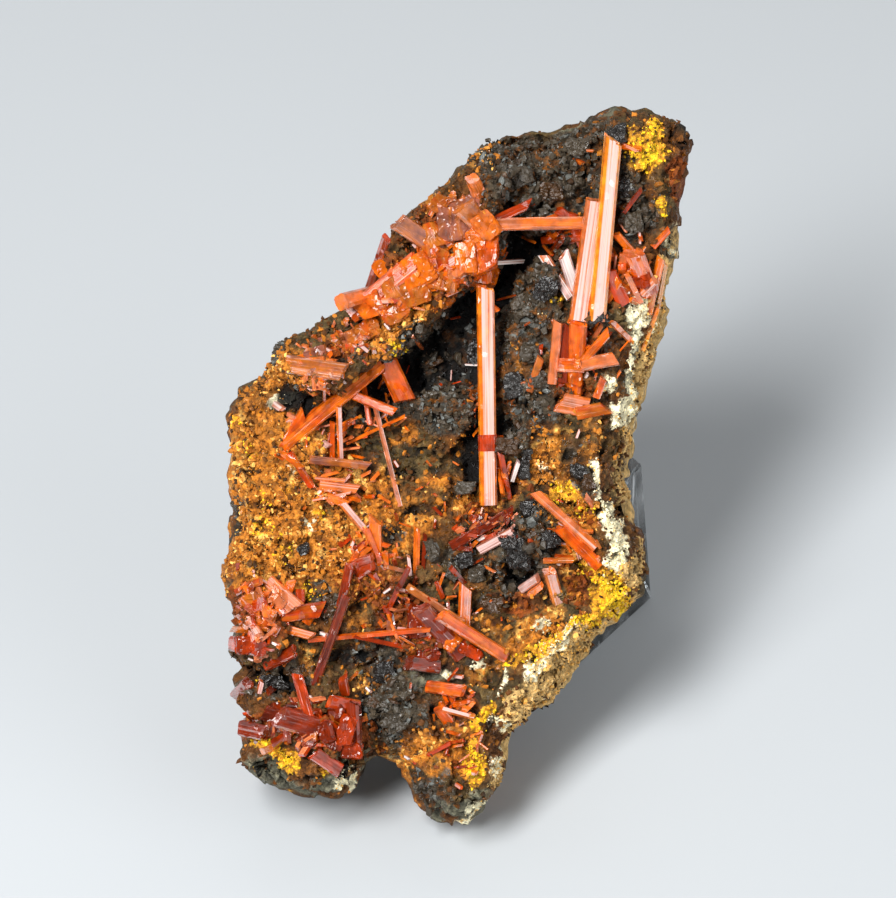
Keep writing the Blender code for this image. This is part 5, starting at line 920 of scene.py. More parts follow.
def mesh_piece(name, points, blocks, finishes, smooth=False, slots=None):
    """A mesh object from points in metres and blocks of faces, each block an array with one row to a face."""
    mesh = bpy.data.meshes.new(name)
    sizes = np.concatenate([np.full(len(block), block.shape[1], int) for block in blocks])
    corners = np.concatenate([np.asarray(block).ravel() for block in blocks]).astype(np.int32)
    starts = np.concatenate([[0], np.cumsum(sizes)[:-1]]).astype(np.int32)
    mesh.vertices.add(len(points))
    mesh.vertices.foreach_set("co", np.asarray(points, np.float32).ravel())
    mesh.loops.add(len(corners))
    mesh.loops.foreach_set("vertex_index", corners)
    mesh.polygons.add(len(sizes))
    mesh.polygons.foreach_set("loop_start", starts)
    mesh.polygons.foreach_set("use_smooth", np.full(len(sizes), smooth))
    if slots is not None:
        mesh.polygons.foreach_set("material_index", np.asarray(slots, np.int32))
    mesh.update(calc_edges=True)
    for finish in finishes:
        mesh.materials.append(finish)
    obj = bpy.data.objects.new(name, mesh)
    bpy.context.scene.collection.objects.link(obj)
    return obj


def give_values(obj, name, values, domain="POINT"):
    """Stores one number to a vertex or face under the name that a material reads."""
    layer = obj.data.attributes.new(name, "FLOAT", domain)
    layer.data.foreach_set("value", np.asarray(values, np.float32).ravel())


def grid_quads(numbers):
    """The quads of a grid of vertex numbers."""
    a, b = numbers[:-1, :-1].ravel(), numbers[:-1, 1:].ravel()
    c, d = numbers[1:, 1:].ravel(), numbers[1:, :-1].ravel()
    return np.stack([a, b, c, d], -1)


def slab_surface():
    """The slab's two sheets with their grit, what each point is made of, with how far it stands above its
    neighbourhood and how far it sinks below a wider one, both for painted light and shade, and its distance
    from the nearest edge. The outline is frayed, and the grit fades out towards it."""
    front, back, inset = rock_sheets()
    settle = smooth_step(inset)
    front_weights = mineral_weights(front, inset)
    relief = grit(front, front_weights, settle)
    front = front + outward(front) * relief[..., None]
    front[..., 0], front[..., 1] = frayed(front[..., 0], front[..., 1], settle)
    # Painted light and shade: how far the grit stands above its near neighbours, which the finish turns into
    # lighter tops and darker pits.
    front_weights["crown"] = relief - near_mean(relief, CROWN_REACH)
    # Painted shade: how far a point sinks below the mean of a wide neighbourhood, which the finish darkens
    # almost to black, as in the cave under the ridge.
    sunk = near_mean(front[..., 2], HOLLOW_REACH) - front[..., 2]
    front_weights["hollow"] = np.clip((sunk - 0.5) / 1.9, 0, 1) * smooth_step((inset - 2.0) / 4.0)
    coarse = (slice(None, None, BACK_STEP), slice(None, None, BACK_STEP))
    back = back[coarse]
    rear_weights = back_weights(back)
    relief = grit(back, rear_weights, settle[coarse])
    back = back - outward(back) * relief[..., None]
    rear_weights["crown"] = relief - near_mean(relief, CROWN_REACH // BACK_STEP)
    rear_weights["hollow"] = np.zeros(relief.shape)
    fade = smooth_step(inset[coarse] / 1.2)
    rear_weights = {
        name: rear_weights[name] * fade + front_weights[name][coarse] * (1 - fade) for name in front_weights
    }
    return front, back, front_weights, rear_weights, inset


def on_the_ground(points):
    """Points of the face frame as points of the scene, with none below the ground."""
    world = to_world(points)
    world[:, 2] = np.maximum(world[:, 2], 0.0)
    return world


def make_slab(settings):
    """The gossan slab: two sheets sewn at the outline, the back one coarser, with slivers between them."""
    front, back, front_weights, rear_weights, _ = slab_surface()
    numbers = np.arange(front[..., 0].size).reshape(front.shape[:2])
    rear = np.arange(back[..., 0].size).reshape(back.shape[:2]) + numbers.size
    for edge in ((0, slice(None)), (-1, slice(None)), (slice(None), 0), (slice(None), -1)):
        rear[edge] = numbers[::BACK_STEP, ::BACK_STEP][edge]
    loop = np.concatenate([numbers[0, :-1], numbers[:-1, -1], numbers[-1, :0:-1], numbers[:0:-1, 0]])
    slivers = np.stack([loop[0::2], np.roll(loop[0::2], -1), loop[1::2]], -1)
    blocks = [grid_quads(numbers), grid_quads(rear)[:, ::-1], slivers]
    points = on_the_ground(np.concatenate([front.reshape(-1, 3), back.reshape(-1, 3)]))
    used = np.unique(np.concatenate([block.ravel() for block in blocks]))
    renumber = np.zeros(len(points), int)
    renumber[used] = np.arange(len(used))
    blocks = [renumber[block] for block in blocks]
    slab = mesh_piece("gossan_slab", points[used], blocks, [gossan(settings)], smooth=True)
    for name in front_weights:
        values = np.concatenate([front_weights[name].ravel(), rear_weights[name].ravel()])
        give_values(slab, name, values[used])
    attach(slab, "root")
    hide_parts("matrix_rock")


def ball_shape(rings, sides):
    """A rough ball: rings of latitude with a point at each pole, as points and triangles."""
    angle = np.linspace(0, math.pi, rings + 2)[1:-1]
    turn = np.linspace(0, 2 * math.pi, sides, endpoint=False)
    a, b = np.meshgrid(angle, turn, indexing="ij")
    points = np.stack([np.sin(a) * np.cos(b), np.sin(a) * np.sin(b), np.cos(a)], -1).reshape(-1, 3)
    points = np.concatenate([points, [[0, 0, 1], [0, 0, -1]]])
    numbers = np.arange(rings * sides).reshape(rings, sides)
    after = np.roll(numbers, -1, 1)
    a, b, c, d = numbers[:-1].ravel(), numbers[1:].ravel(), after[1:].ravel(), after[:-1].ravel()
    top, low = rings * sides, rings * sides + 1
    faces = np.concatenate([
        np.stack([a, b, c], -1), np.stack([a, c, d], -1),
        np.stack([np.full(sides, top), numbers[0], after[0]], -1),
        np.stack([np.full(sides, low), after[-1], numbers[-1]], -1),
    ])
    return points, faces


def chip_shape():
    """A blunt chip: a box with its upper end drawn in, as points and triangles."""
    x, y, z = np.meshgrid([-1, 1], [-1, 1], [-1, 1], indexing="ij")
    points = np.stack([x, y, z], -1).reshape(-1, 3).astype(float)
    points[points[:, 2] > 0, :2] *= 0.55
    faces = np.array([
        (0, 1, 3), (0, 3, 2), (4, 6, 7), (4, 7, 5), (0, 4, 5), (0, 5, 1),
        (2, 3, 7), (2, 7, 6), (0, 2, 6), (0, 6, 4), (1, 5, 7), (1, 7, 3),
    ])
    return points, faces


def random_turns(count, draw):
    """Evenly spread random rotations, from normalised random quaternions."""
    q = draw.normal(size=(count, 4))
    w, x, y, z = (q / np.linalg.norm(q, axis=1, keepdims=True)).T
    rows = [
        1 - 2 * (y * y + z * z), 2 * (x * y - z * w), 2 * (x * z + y * w),
        2 * (x * y + z * w), 1 - 2 * (x * x + z * z), 2 * (y * z - x * w),
        2 * (x * z - y * w), 2 * (y * z + x * w), 1 - 2 * (x * x + y * y),
    ]
    return np.stack(rows, -1).reshape(count, 3, 3)


def scatter(name, shape, places, sizes, stretch, roughness, finishes, draw):
    """One piece of many copies of a small shape: each is scaled, stretched at random along its own axes,
    given its own uneven points, turned at random and set at its place in the face frame."""
    base, faces = shape
    count = len(places)
    bumps = 1 + roughness * draw.uniform(-1, 1, (count, len(base), 1))
    scale = sizes[:, None, None] * (1 + stretch * draw.uniform(-1, 1, (count, 1, 3)))
    points = np.einsum("nij,nvj->nvi", random_turns(count, draw), base * bumps * scale)
    points = on_the_ground((points + places[:, None, :]).reshape(-1, 3))
    numbers = faces[None] + np.arange(count)[:, None, None] * len(base)
    piece = mesh_piece(name, points, [numbers.reshape(-1, 3)], finishes)
    give_values(piece, "tone", np.repeat(draw.uniform(0, 1, count), len(base)))
    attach(piece, "root")


def pick_places(sheet, weight, count, draw):
    """Random places on a sheet with the chance of each cell as its weight and area, and the normal there."""
    across, up = (np.gradient(sheet, axis=axis) for axis in (1, 0))
    chance = (weight * np.linalg.norm(across, axis=-1) * np.linalg.norm(up, axis=-1)).ravel()
    chosen = draw.choice(chance.size, count, p=chance / chance.sum())
    spread = draw.uniform(-0.5, 0.5, (count, 2))
    moved = across.reshape(-1, 3)[chosen] * spread[:, :1], up.reshape(-1, 3)[chosen] * spread[:, 1:]
    return sheet.reshape(-1, 3)[chosen] + moved[0] + moved[1], outward(sheet).reshape(-1, 3)[chosen]


# The loose grains: piece, mineral, shape, number, least and greatest radius in millimetres, stretch,
# roughness.
GRAINS = [
    ("goethite_grains", "black", "ball", 1500, (0.14, 0.7), 0.55, 0.45),
    ("goethite_fragments", "black", "chip", 3400, (0.08, 0.34), 0.6, 0.4),
    ("ochre_granules", "ochre", "pebble", 5600, (0.09, 0.42), 0.45, 0.4),
    ("yellow_granules", "yellow", "pebble", 2600, (0.08, 0.28), 0.4, 0.4),
    ("clay_granules", "cream", "pebble", 2200, (0.06, 0.2), 0.45, 0.4),
    ("limonite_chips", "rust", "chip", 2400, (0.12, 0.4), 0.5, 0.4),
    ("tan_granules", "tan", "pebble", 3600, (0.09, 0.32), 0.45, 0.4),
    ("brown_granules", "brown", "pebble", 3600, (0.1, 0.44), 0.5, 0.4),
]


def make_grains(settings):
    """Loose grains and fragments that stand on the face, one piece for each mineral. They keep clear of the
    slab's outline by half a millimetre, and small ones are commoner than large ones."""
    front, _, weights, _, inset = slab_surface()
    weights["brown"] = np.clip(1.4 - sum(weights[mineral] for mineral in MINERALS), 0, 1)
    shapes = {"ball": ball_shape(3, 6), "pebble": ball_shape(2, 5), "chip": chip_shape()}
    for number, (name, mineral, shape, count, radii, stretch, roughness) in enumerate(GRAINS):
        draw = np.random.default_rng(GRAIN_SEED + number)
        weight = np.clip(weights[mineral] - 0.25, 0, 1) * (inset > 0.6) * (1.04 - weights["hollow"])
        places, normals = pick_places(front, weight, count, draw)
        sizes = radii[0] + (radii[1] - radii[0]) * draw.uniform(0, 1, count) ** 2.2
        places = places + normals * sizes[:, None] * draw.uniform(-0.2, 0.5, (count, 1))
        finishes = [grain_finish(settings, mineral)]
        scatter(name, shapes[shape], places, sizes, stretch, roughness, finishes, draw)


def rock_level(tree, x, y):
    """Height of the solid rock where it is seen at x and y, or of the smooth face beyond its outline."""
    start = Vector(to_world((x, y, SIGHT_HEIGHT)))
    ahead = Vector(to_world((x, y, 0))) - start
    distance = tree.ray_cast(start, ahead.normalized())[3]
    if distance is None:
        return float(face_height(np.array(x, float), np.array(y, float)))
    return max(SIGHT_HEIGHT * (1 - distance / ahead.length), DEEPEST)


def solid_rock():
    """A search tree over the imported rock, which the crystals' heights are read from."""
    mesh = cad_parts["matrix_rock"].data
    corners = [vertex.co for vertex in mesh.vertices]
    return BVHTree.FromPolygons(corners, [tuple(face.vertices) for face in mesh.polygons])


def striated_section(width, depth, draw):
    """The cross-section of a prism: a lozenge if it is thin, or else a rectangle with cut corners. Each side
    is split into strips that run the length of the prism, each tilted a little and with a narrow step to the
    next one."""
    half_w, half_d, cut = width / 2, depth / 2, 0.22 * min(width, depth)
    half = [(half_w - cut, half_d), (half_w, half_d - cut), (half_w, cut - half_d), (half_w - cut, -half_d)]
    if width < THIN:
        half = [(half_w, half_d * 0.6), (half_w / 2, -half_d)]
    corners = np.array(half + [(-x, -y) for x, y in half])
    points = []
    for start, end in zip(corners, np.roll(corners, -1, 0)):
        length = np.linalg.norm(end - start)
        inward = np.array([end[1] - start[1], start[0] - end[0]]) / length
        count = max(1, int(round(length / STRIP_WIDTH)))
        ends = np.linspace(0, 1, count + 1)
        ends[1:-1] += draw.uniform(-0.3, 0.3, count - 1) / count
        for low, high in zip(ends[:-1], ends[1:]):
            sink = draw.uniform(0, STRIP_SINK, 2) * (count > 1)
            points.append(start + (end - start) * low + inward * sink[0])
            points.append(start + (end - start) * (high - STRIP_STEP / length) + inward * sink[1])
    return np.array(points)


def prism(draw, drifts, foot, tip, size, spin, cut, pale, sheen_way=0, end=0):
    """One crystal in the face frame, in millimetres: its striated section carried from foot to tip in rings
    that drift a little, cut slanting at the tip, and closed there by a hollow or a ragged end. Returns its
    points, and its quads and its triangles, each kind with how white each face is and the way round and along
    of each corner of a face. That white is partly painted reflection: it is most on the side faces that look
    the way given, and fades on those turned from it."""
    ends = np.array([foot, tip], float)
    along = ends[1] - ends[0]
    length = np.linalg.norm(along)
    along = along / length
    out = np.array([0.0, 0.0, 1.0]) - along[2] * along
    out = out / np.linalg.norm(out)
    side = np.cross(along, out)
    turn = math.radians(spin)
    broad, side = math.cos(turn) * out + math.sin(turn) * side, math.cos(turn) * side - math.sin(turn) * out
    section = striated_section(*size, draw)
    count = len(section)
    levels = np.sort(draw.uniform(0.15, 0.9, drifts)) * length
    rings = [(section, np.zeros(count))]
    for level in levels:
        rings.append((section * (1 - draw.uniform(0, DRIFT, count)[:, None]), np.full(count, level)))
    ragged = np.repeat(draw.uniform(0, -end, count // 2), 2) if end < 0 else 0.0
    reach = length - cut[0] * section[:, 0] - cut[1] * section[:, 1] - ragged
    reach = np.maximum(reach, (levels[-1] if drifts else 0.5 * length) + TIP_LIP)
    rings.append((section, reach))
    if end > 0:
        rings += [(section * 0.66, reach - TIP_LIP), (section * 0.5, reach - end)]
    plan, height = (np.array(part) for part in zip(*rings))
    points = ends[0] + along * height[..., None] + side * plan[..., :1] + broad * plan[..., 1:]
    last = points[-1].mean(0) - along * (0.3 * max(-end, 0.1))
    points = np.concatenate([points.reshape(-1, 3), [ends[0], last]])
    numbers = np.arange(len(rings) * count).reshape(len(rings), count)
    after = np.roll(numbers, -1, 1)
    quads = np.stack([numbers[1:], after[1:], after[:-1], numbers[:-1]], -1).reshape(-1, 4)
    foot_cap = np.stack([numbers[0], after[0], np.full(count, len(points) - 2)], -1)
    tip_cap = np.stack([after[-1], numbers[-1], np.full(count, len(points) - 1)], -1)
    caps = np.concatenate([foot_cap, tip_cap])
    # Painted reflection: the side faces that look the way given get the most white, as if they mirrored the
    # soft box, and it fades on those turned from it.
    edge = np.roll(section, -1, 0) - section
    facing = np.degrees(np.arctan2(edge[:, 1], edge[:, 0]))
    away = np.abs((facing - (sheen_way - spin) + 180) % 360 - 180)
    streak = np.where(draw.uniform(0, 1, count) < 0.2, 0.25, draw.uniform(0.75, 1.0, count))
    shade = pale ** 2 * np.clip(1.6 - away / SHEEN_SPREAD, 0, 1) * streak
    way = np.concatenate([[0], np.cumsum(np.linalg.norm(edge, axis=1))])
    lower, upper = height[:-1], height[1:]
    low, high = (np.broadcast_to(part, lower.shape) for part in (way[:-1], way[1:]))
    ways = np.stack([low, upper, high, np.roll(upper, -1, 1), high, np.roll(lower, -1, 1), low, lower], -1)
    return (
        points,
        (quads, np.tile(shade, len(rings) - 1), ways.reshape(-1, 2)),
        (caps, np.full(2 * count, pale * 0.3), points[caps][..., :2].reshape(-1, 2)),
    )


def crystal_piece(name, points, blocks, finishes, slots, pale, tone, ways, kind):
    """A piece of crystal and what its finishes read: how white each face is, partly painted reflection, and
    its tone, and at each corner of a face the way round and along, in millimetres."""
    piece = mesh_piece(name, to_world(np.concatenate(points)), blocks, finishes.values(), slots=slots)
    give_values(piece, "pale", pale, "FACE")
    give_values(piece, "tone", tone, "FACE")
    layer = piece.data.attributes.new("striae", "FLOAT_VECTOR", "CORNER")
    layer.data.foreach_set("vector", np.column_stack([ways, np.zeros(len(ways))]).astype(np.float32).ravel())
    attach(piece, "root")
    return piece


def prism_piece(name, rows, tree, draw, finishes, drifts=3):
    """One piece of several prisms, each with its own finish: their points and faces one after another. A row
    is as in the table of crystals. Foot and tip stand on the solid rock and are lifted off it as the
    solid's are."""
    points, kinds, total = [], ([], []), 0
    for foot, tip, size, spin, cut, finish, *look in rows:
        ends = [(x, y, rock_level(tree, x, y) + lift + GAP) for x, y, lift in (foot, tip)]
        made, *parts = prism(draw, drifts, *ends, size, spin, cut, *look)
        start, tone = draw.uniform(0, WAY_START), draw.uniform(0, 1)
        for kind, (faces, pale, ways) in zip(kinds, parts):
            slots = np.full(len(faces), list(finishes).index(finish))
            kind.append((faces + total, slots, pale, np.full(len(faces), tone), ways + start))
        points.append(made)
        total += len(made)
    blocks, *values = zip(*([np.concatenate(column) for column in zip(*kind)] for kind in kinds))
    values = [np.concatenate(pair) for pair in values]
    return crystal_piece(name, points, blocks, finishes, *values, "crocoite")


def lump_shape(base, size, turn, broken, grainy, draw):
    """One lump about its own middle: along each direction of a ball it reaches as far as the nearest of some
    planes, six of them nearly square to its axes, and small facets and grains then stand out of it as far as
    broken and grainy say, in millimetres."""
    planes = draw.normal(size=(LUMP_PLANES, 3))
    planes[:6] = np.repeat(np.eye(3), 2, 0) * np.tile([1, -1], 3)[:, None] + 0.14 * planes[:6]
    planes = planes / np.linalg.norm(planes, axis=1, keepdims=True)
    limits = np.concatenate([draw.uniform(0.7, 0.95, 6), draw.uniform(0.9, 1.15, LUMP_PLANES - 6)])
    reach = np.minimum((limits / np.maximum(base @ planes.T, 0.05)).min(1), 1.3)
    made = base * reach[:, None] * size
    crags = crag_noise(made + draw.uniform(0, WAY_START, 3), LUMP_CELL, SEED + 30)
    grains = grain_noise(made + draw.uniform(0, WAY_START, 3), LUMP_CELL / 2, SEED + 40)
    made = made + base * (broken * crags + grainy * grains)[:, None]
    c, s = math.cos(math.radians(turn)), math.sin(math.radians(turn))
    return made @ np.array([(c, s, 0), (-s, c, 0), (0, 0, 1)])


def lump_piece(name, rows, tree, draw, finishes, kind, broken, grainy):
    """One piece of several lumps, each a block with its corners cut off and its surface broken. A row is as
    in the tables of lumps."""
    base, faces = ball_shape(LUMP_RINGS, LUMP_SIDES)
    points, ways, values = [], [], []
    for (x, y, lift), size, turn, *look in rows:
        finish, pale = look or ("goethite", 0)
        level = rock_level(tree, x, y) + lift
        points.append(lump_shape(base, size, turn, broken, grainy, draw) + (x, y, level))
        ways.append(base[:, :2] * size[:2] + draw.uniform(0, WAY_START))
        values.append((list(finishes).index(finish), pale, draw.uniform(0, 0.7)))
    numbers = (faces[None] + (np.arange(len(rows)) * len(base))[:, None, None]).reshape(-1, 3)
    slots, pale_sheens, tones = (np.repeat(column, len(faces)) for column in zip(*values))
    ways = np.concatenate(ways)[numbers.ravel()]
    crystal_piece(name, points, [numbers], finishes, slots, pale_sheens, tones, ways, kind)


def make_lumps(settings):
    """The lumps of grown-together crystal, one piece for each place, and the dark lumps of goethite."""
    tree = solid_rock()
    finishes = crocoite_finishes(settings)
    for number, (name, rows) in enumerate(CRYSTAL_LUMPS.items()):
        draw = np.random.default_rng(LUMP_SEED + number)
        lump_piece(name, rows, tree, draw, finishes, "crocoite", broken=0.2, grainy=0.0)
    finishes = {name: grain_finish(settings, name) for name in ("black", "goethite")}
    draw = np.random.default_rng(GOETHITE_SEED)
    lump_piece("goethite_lumps", GOETHITE_LUMPS, tree, draw, finishes, "gossan", broken=0.4, grainy=0.2)


def make_crystals(settings):
    """The crystals, one piece for each solid."""
    tree = solid_rock()
    finishes = crocoite_finishes(settings)
    for number, (node, rows) in enumerate(CRYSTALS.items()):
        draw = np.random.default_rng(CRYSTAL_SEED + number)
        piece = prism_piece(node + "_crystal", rows, tree, draw, finishes)
        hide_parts(node)


def slab_outline():
    """The slab's outline as one closed list of x and y."""
    left = [(x, y) for y, x in LEFT_EDGE]
    right = [(x, y) for y, x in RIGHT_EDGE]
    return BOTTOM_EDGE[:-1] + right[:-1] + TOP_EDGE[:0:-1] + left[:0:-1]


def cluster_rows(cluster, draw):
    """Rows for the small prisms of one cluster: their feet lie in an ellipse, denser at its middle, and they
    point about one way, with short ones commoner than long ones. Those that would hang over the slab's edge
    are left out."""
    x, y, half_x, half_y, count, lengths, widths, way, spread, names = cluster
    feet = draw.normal(0, 0.5, (count, 2)) * (half_x, half_y) + (x, y)
    size = lengths[0] + (lengths[1] - lengths[0]) * draw.uniform(0, 1, count) ** 1.6
    turn = np.radians(way + spread * draw.uniform(-1, 1, count))
    tips = feet + np.stack([np.cos(turn), np.sin(turn)], -1) * size[:, None]
    lift = draw.uniform(0.1, 0.8, count) * size
    wide = widths[0] + (widths[1] - widths[0]) * draw.uniform(0, 1, count) ** 1.5
    deep = wide * draw.uniform(0.5, 0.95, count)
    pale = np.where(draw.uniform(0, 1, count) < 0.2, 1.0, draw.uniform(0, 0.15, count))
    outline = slab_outline()
    held = (inside_by(*feet.T, outline) > 1.2) & (inside_by(*tips.T, outline) > -0.4)
    return [
        (
            (*feet[n], -0.4), (*tips[n], lift[n]), (wide[n], deep[n]), draw.uniform(-30, 30),
            (draw.uniform(-0.8, 0.8), draw.uniform(-0.3, 0.5)), names[n % len(names)],
            pale[n], draw.uniform(-40, 40), -0.1,
        )
        for n in np.flatnonzero(held)
    ]


# Left at its defaults, a small crystal is white all over: a painted highlight, for a flash of light off a
# small face.
def small_row(x, y, tip_x, tip_y, width, finish="white", pale=1.0):
    """A row of the table of crystals for a small one, which rises a little from foot to tip."""
    rise = min(0.35 * math.hypot(tip_x - x, tip_y - y), 1.4) + 0.3
    return (x, y, -0.2), (tip_x, tip_y, rise), (width, 0.8 * width), 8, (0.5, 0.1), finish, pale


def make_small_crystals(settings):
    """The small crystals that can be made out one by one, then the clusters of smaller ones, one piece for
    each group."""
    tree = solid_rock()
    finishes = crocoite_finishes(settings)
    for number, (name, short) in enumerate(SMALL_CRYSTALS.items()):
        draw = np.random.default_rng(SMALL_SEED + number)
        prism_piece(name, [small_row(*row) for row in short], tree, draw, finishes, drifts=0)
    for number, (name, cluster) in enumerate(CLUSTERS.items()):
        draw = np.random.default_rng(CLUSTER_SEED + number)
        prism_piece(name, cluster_rows(cluster, draw), tree, draw, finishes, drifts=0)


def colour(code):
    """An sRGB hex colour as linear red, green and blue."""
    parts = [int(code[i:i + 2], 16) / 255 for i in (1, 3, 5)]
    return tuple(part / 12.92 if part <= 0.04045 else ((part + 0.055) / 1.055) ** 2.4 for part in parts)


def add_node(tree, kind, inputs=None, **settings):
    """Adds a node, gives it its settings, and sets or links its inputs."""
    node = tree.nodes.new("ShaderNode" + kind)
    for name, value in settings.items():
        setattr(node, name, value)
    for name, value in (inputs or {}).items():
        if isinstance(value, bpy.types.NodeSocket):
            tree.links.new(value, node.inputs[name])
        else:
            node.inputs[name].default_value = value
    return node


def new_finish(name):
    """An empty material, with its node tree and its Principled shader."""
    made = bpy.data.materials.new(name)
    made.use_nodes = True
    return made, made.node_tree, made.node_tree.nodes["Principled BSDF"]


def full_colour(settings, name):
    """One of the settings' colours as red, green, blue and alpha."""
    return (*getattr(settings, name), 1.0)


def to_the_metre(width):
    """How many cells of a pattern make a metre, from the width of one in millimetres."""
    return 1 / (width * MM)


def lay_over(tree, below, above, value, none, full, ease="SMOOTHSTEP"):
    """Lays one colour over another from where a value is none to where it is full. Returns the colour and
    the share of the upper one."""
    limits = {"Value": value, "From Min": none, "From Max": full}
    share = add_node(tree, "MapRange", limits, interpolation_type=ease).outputs[0]
    return add_node(tree, "Mix", {0: share, 6: below, 7: above}, data_type="RGBA").outputs[2], share


def lighten(tree, tone, value, least, greatest, dark, bright):
    """Multiplies a colour's value by from dark to bright as a value runs from least to greatest."""
    limits = {"Value": value, "From Min": least, "From Max": greatest, "To Min": dark, "To Max": bright}
    factor = add_node(tree, "MapRange", limits).outputs[0]
    return add_node(tree, "HueSaturation", {"Color": tone, "Value": factor}).outputs["Color"]


GOSSAN_COLOURS = (
    "brown", "olive", "umber", "sienna", "ash", "tan", "black", "slate", "ochre", "honey", "yellow", "gilt",
    "cream", "rust",
)

# The noises of the gossan: width of a cell in millimetres, as wide as its fragments, its granules, its
# stains and the patches of its crusts are, then detail and roughness.
GOSSAN_NOISES = {
    "coarse": (2.381, 4.0, 0.65), "fine": (0.6667, 3.0, 0.7), "broad": (7.692, 3.0, 0.6),
    "patchy": (3.704, 5.0, 0.7),
}

# The mixed colours of the gossan: the result, what it starts from, what goes over it, the noise or mineral
# that says where, and the values at which that begins and is full.
GOSSAN_BLENDS = [
    ("plain", "brown", "olive", "broad", 0.4, 0.62),
    ("crust", "ochre", "honey", "patchy", 0.52, 0.66),
    ("crust", "crust", "sienna", "patchy", 0.46, 0.36),
    ("wall", "tan", "umber", "patchy", 0.42, 0.3),
    ("wall", "wall", "honey", "patchy", 0.58, 0.74),
    ("dark", "black", "brown", "patchy", 0.48, 0.58),
    ("dark", "dark", "slate", "coarse", 0.56, 0.68),
    ("dark", "dark", "ochre", "patchy", 0.62, 0.7),
    ("stain", "rust", "ochre", "patchy", 0.56, 0.68),
    ("clay", "cream", "honey", "patchy", 0.44, 0.34),
    ("powder", "gilt", "yellow", "yellow", 0.95, 1.3),
]

# The minerals in the order that they lie over each other: mineral, its colour, the noise that frays its
# patches, and how much.
GOSSAN_LAYERS = [
    ("ash", "ash", "coarse", 0.7),
    ("tan", "wall", "fine", 0.8),
    ("rust", "stain", "coarse", 0.75),
    ("ochre", "crust", "coarse", 0.9),
    ("cream", "clay", "fine", 0.9),
    ("yellow", "powder", "fine", 0.8),
    ("black", "dark", "coarse", 0.9),
]


# What the gossan's lightness is multiplied by: the value read, its least and greatest, and the factors there.
# The fine noise is a speckle of the rock's own; the other two are painted light and shade: the tops of the
# grit lighter and its pits darker, and the hollows darkened almost to black.
GOSSAN_SPECKLE_AND_SHADE = [
    ("fine", 0.3, 0.7, 0.4, 1.5), ("crown", -0.6, 0.45, 0.16, 1.5), ("hollow", 0.0, 1.0, 1.0, 0.03),
]


def gossan(settings):
    """Limonite gossan: earthy iron oxides left by weathering. Dark goethite breaks in sharp, faintly metallic
    fragments; ochre and yellow crusts are dull, porous granules; rust is stained haematite; cream is clay.
    Some of the tiny broken faces all over it are bright and flash in the light. Its colour also carries
    painted light and shade: lighter on the tops of its grit, darker in its pits, and almost black in hollows."""
    made, tree, shader = new_finish("limonite_gossan")
    place = add_node(tree, "TexCoord").outputs["Object"]
    values = {
        name: add_node(tree, "Attribute", attribute_name=name).outputs["Fac"]
        for name in (*MINERALS, "crown", "hollow")
    }
    for name, (width, detail, roughness) in GOSSAN_NOISES.items():
        inputs = {"Vector": place, "Scale": to_the_metre(width), "Detail": detail, "Roughness": roughness}
        values[name] = add_node(tree, "TexNoise", inputs).outputs["Fac"]
    tones = {name: full_colour(settings, name) for name in GOSSAN_COLOURS}
    for result, below, above, name, none, full in GOSSAN_BLENDS:
        tones[result], _ = lay_over(tree, tones[below], tones[above], values[name], none, full)
    tone = tones["plain"]
    for mineral, above, noise, reach in GOSSAN_LAYERS:
        inputs = {0: values[noise], 1: reach, 2: values[mineral]}
        frayed_weight = add_node(tree, "Math", inputs, operation="MULTIPLY_ADD").outputs[0]
        none, full = 0.5 * reach + 0.32, 0.5 * reach + 0.62
        tone, _ = lay_over(tree, tone, tones[above], frayed_weight, none, full)
    for name, least, greatest, dark, bright in GOSSAN_SPECKLE_AND_SHADE:
        tone = lighten(tree, tone, values[name], least, greatest, dark, bright)
    tree.links.new(tone, shader.inputs["Base Color"])
    height = add_node(tree, "Math", {0: values["coarse"], 1: values["fine"]}, operation="ADD").outputs[0]
    mask = glinting(tree, shader, place, height, 0.8, 0.9, 0.5263, 0.14)
    rough = add_node(tree, "MapRange", {"Value": mask, "To Min": 0.75, "To Max": 0.16})
    tree.links.new(rough.outputs[0], shader.inputs["Roughness"])
    shader.inputs["Specular IOR Level"].default_value = 0.32
    return made


def glinting(tree, shader, place, height, depth, strength, width, share):
    """Gives a finish its bump, which has a depth, and tilts it at random in a share of the cells, which have
    a width, both in millimetres. Returns the mask of those cells."""
    bump = add_node(tree, "Bump", {"Height": height, "Distance": depth * MM, "Strength": strength})
    cells = add_node(tree, "TexVoronoi", {"Vector": place, "Scale": to_the_metre(width)}).outputs["Color"]
    split = add_node(tree, "SeparateXYZ", {0: cells})
    mask = add_node(tree, "Math", {0: split.outputs[2], 1: 1 - share}, operation="GREATER_THAN").outputs[0]
    tilt = add_node(tree, "VectorMath", {0: cells, 1: (0.5, 0.5, 0.5)}, operation="SUBTRACT")
    tilt = add_node(tree, "VectorMath", {0: tilt.outputs[0], "Scale": mask}, operation="SCALE")
    whole = add_node(tree, "VectorMath", {0: tilt.outputs[0], 1: bump.outputs[0]}, operation="ADD")
    normal = add_node(tree, "VectorMath", {0: whole.outputs[0]}, operation="NORMALIZE")
    tree.links.new(normal.outputs[0], shader.inputs["Normal"])
    return mask


# The finishes of loose grains: their second colour, the roughness of their dull faces, and their specular
# level.
GRAIN_FINISHES = {
    "black": ("slate", 0.42, 0.5), "goethite": ("black", 0.26, 0.5), "rust": ("ochre", 0.65, 0.3),
    "ochre": ("honey", 0.65, 0.3), "cream": ("honey", 0.65, 0.3), "yellow": ("gilt", 0.65, 0.3),
    "tan": ("honey", 0.65, 0.3), "brown": ("ochre", 0.65, 0.3),
}


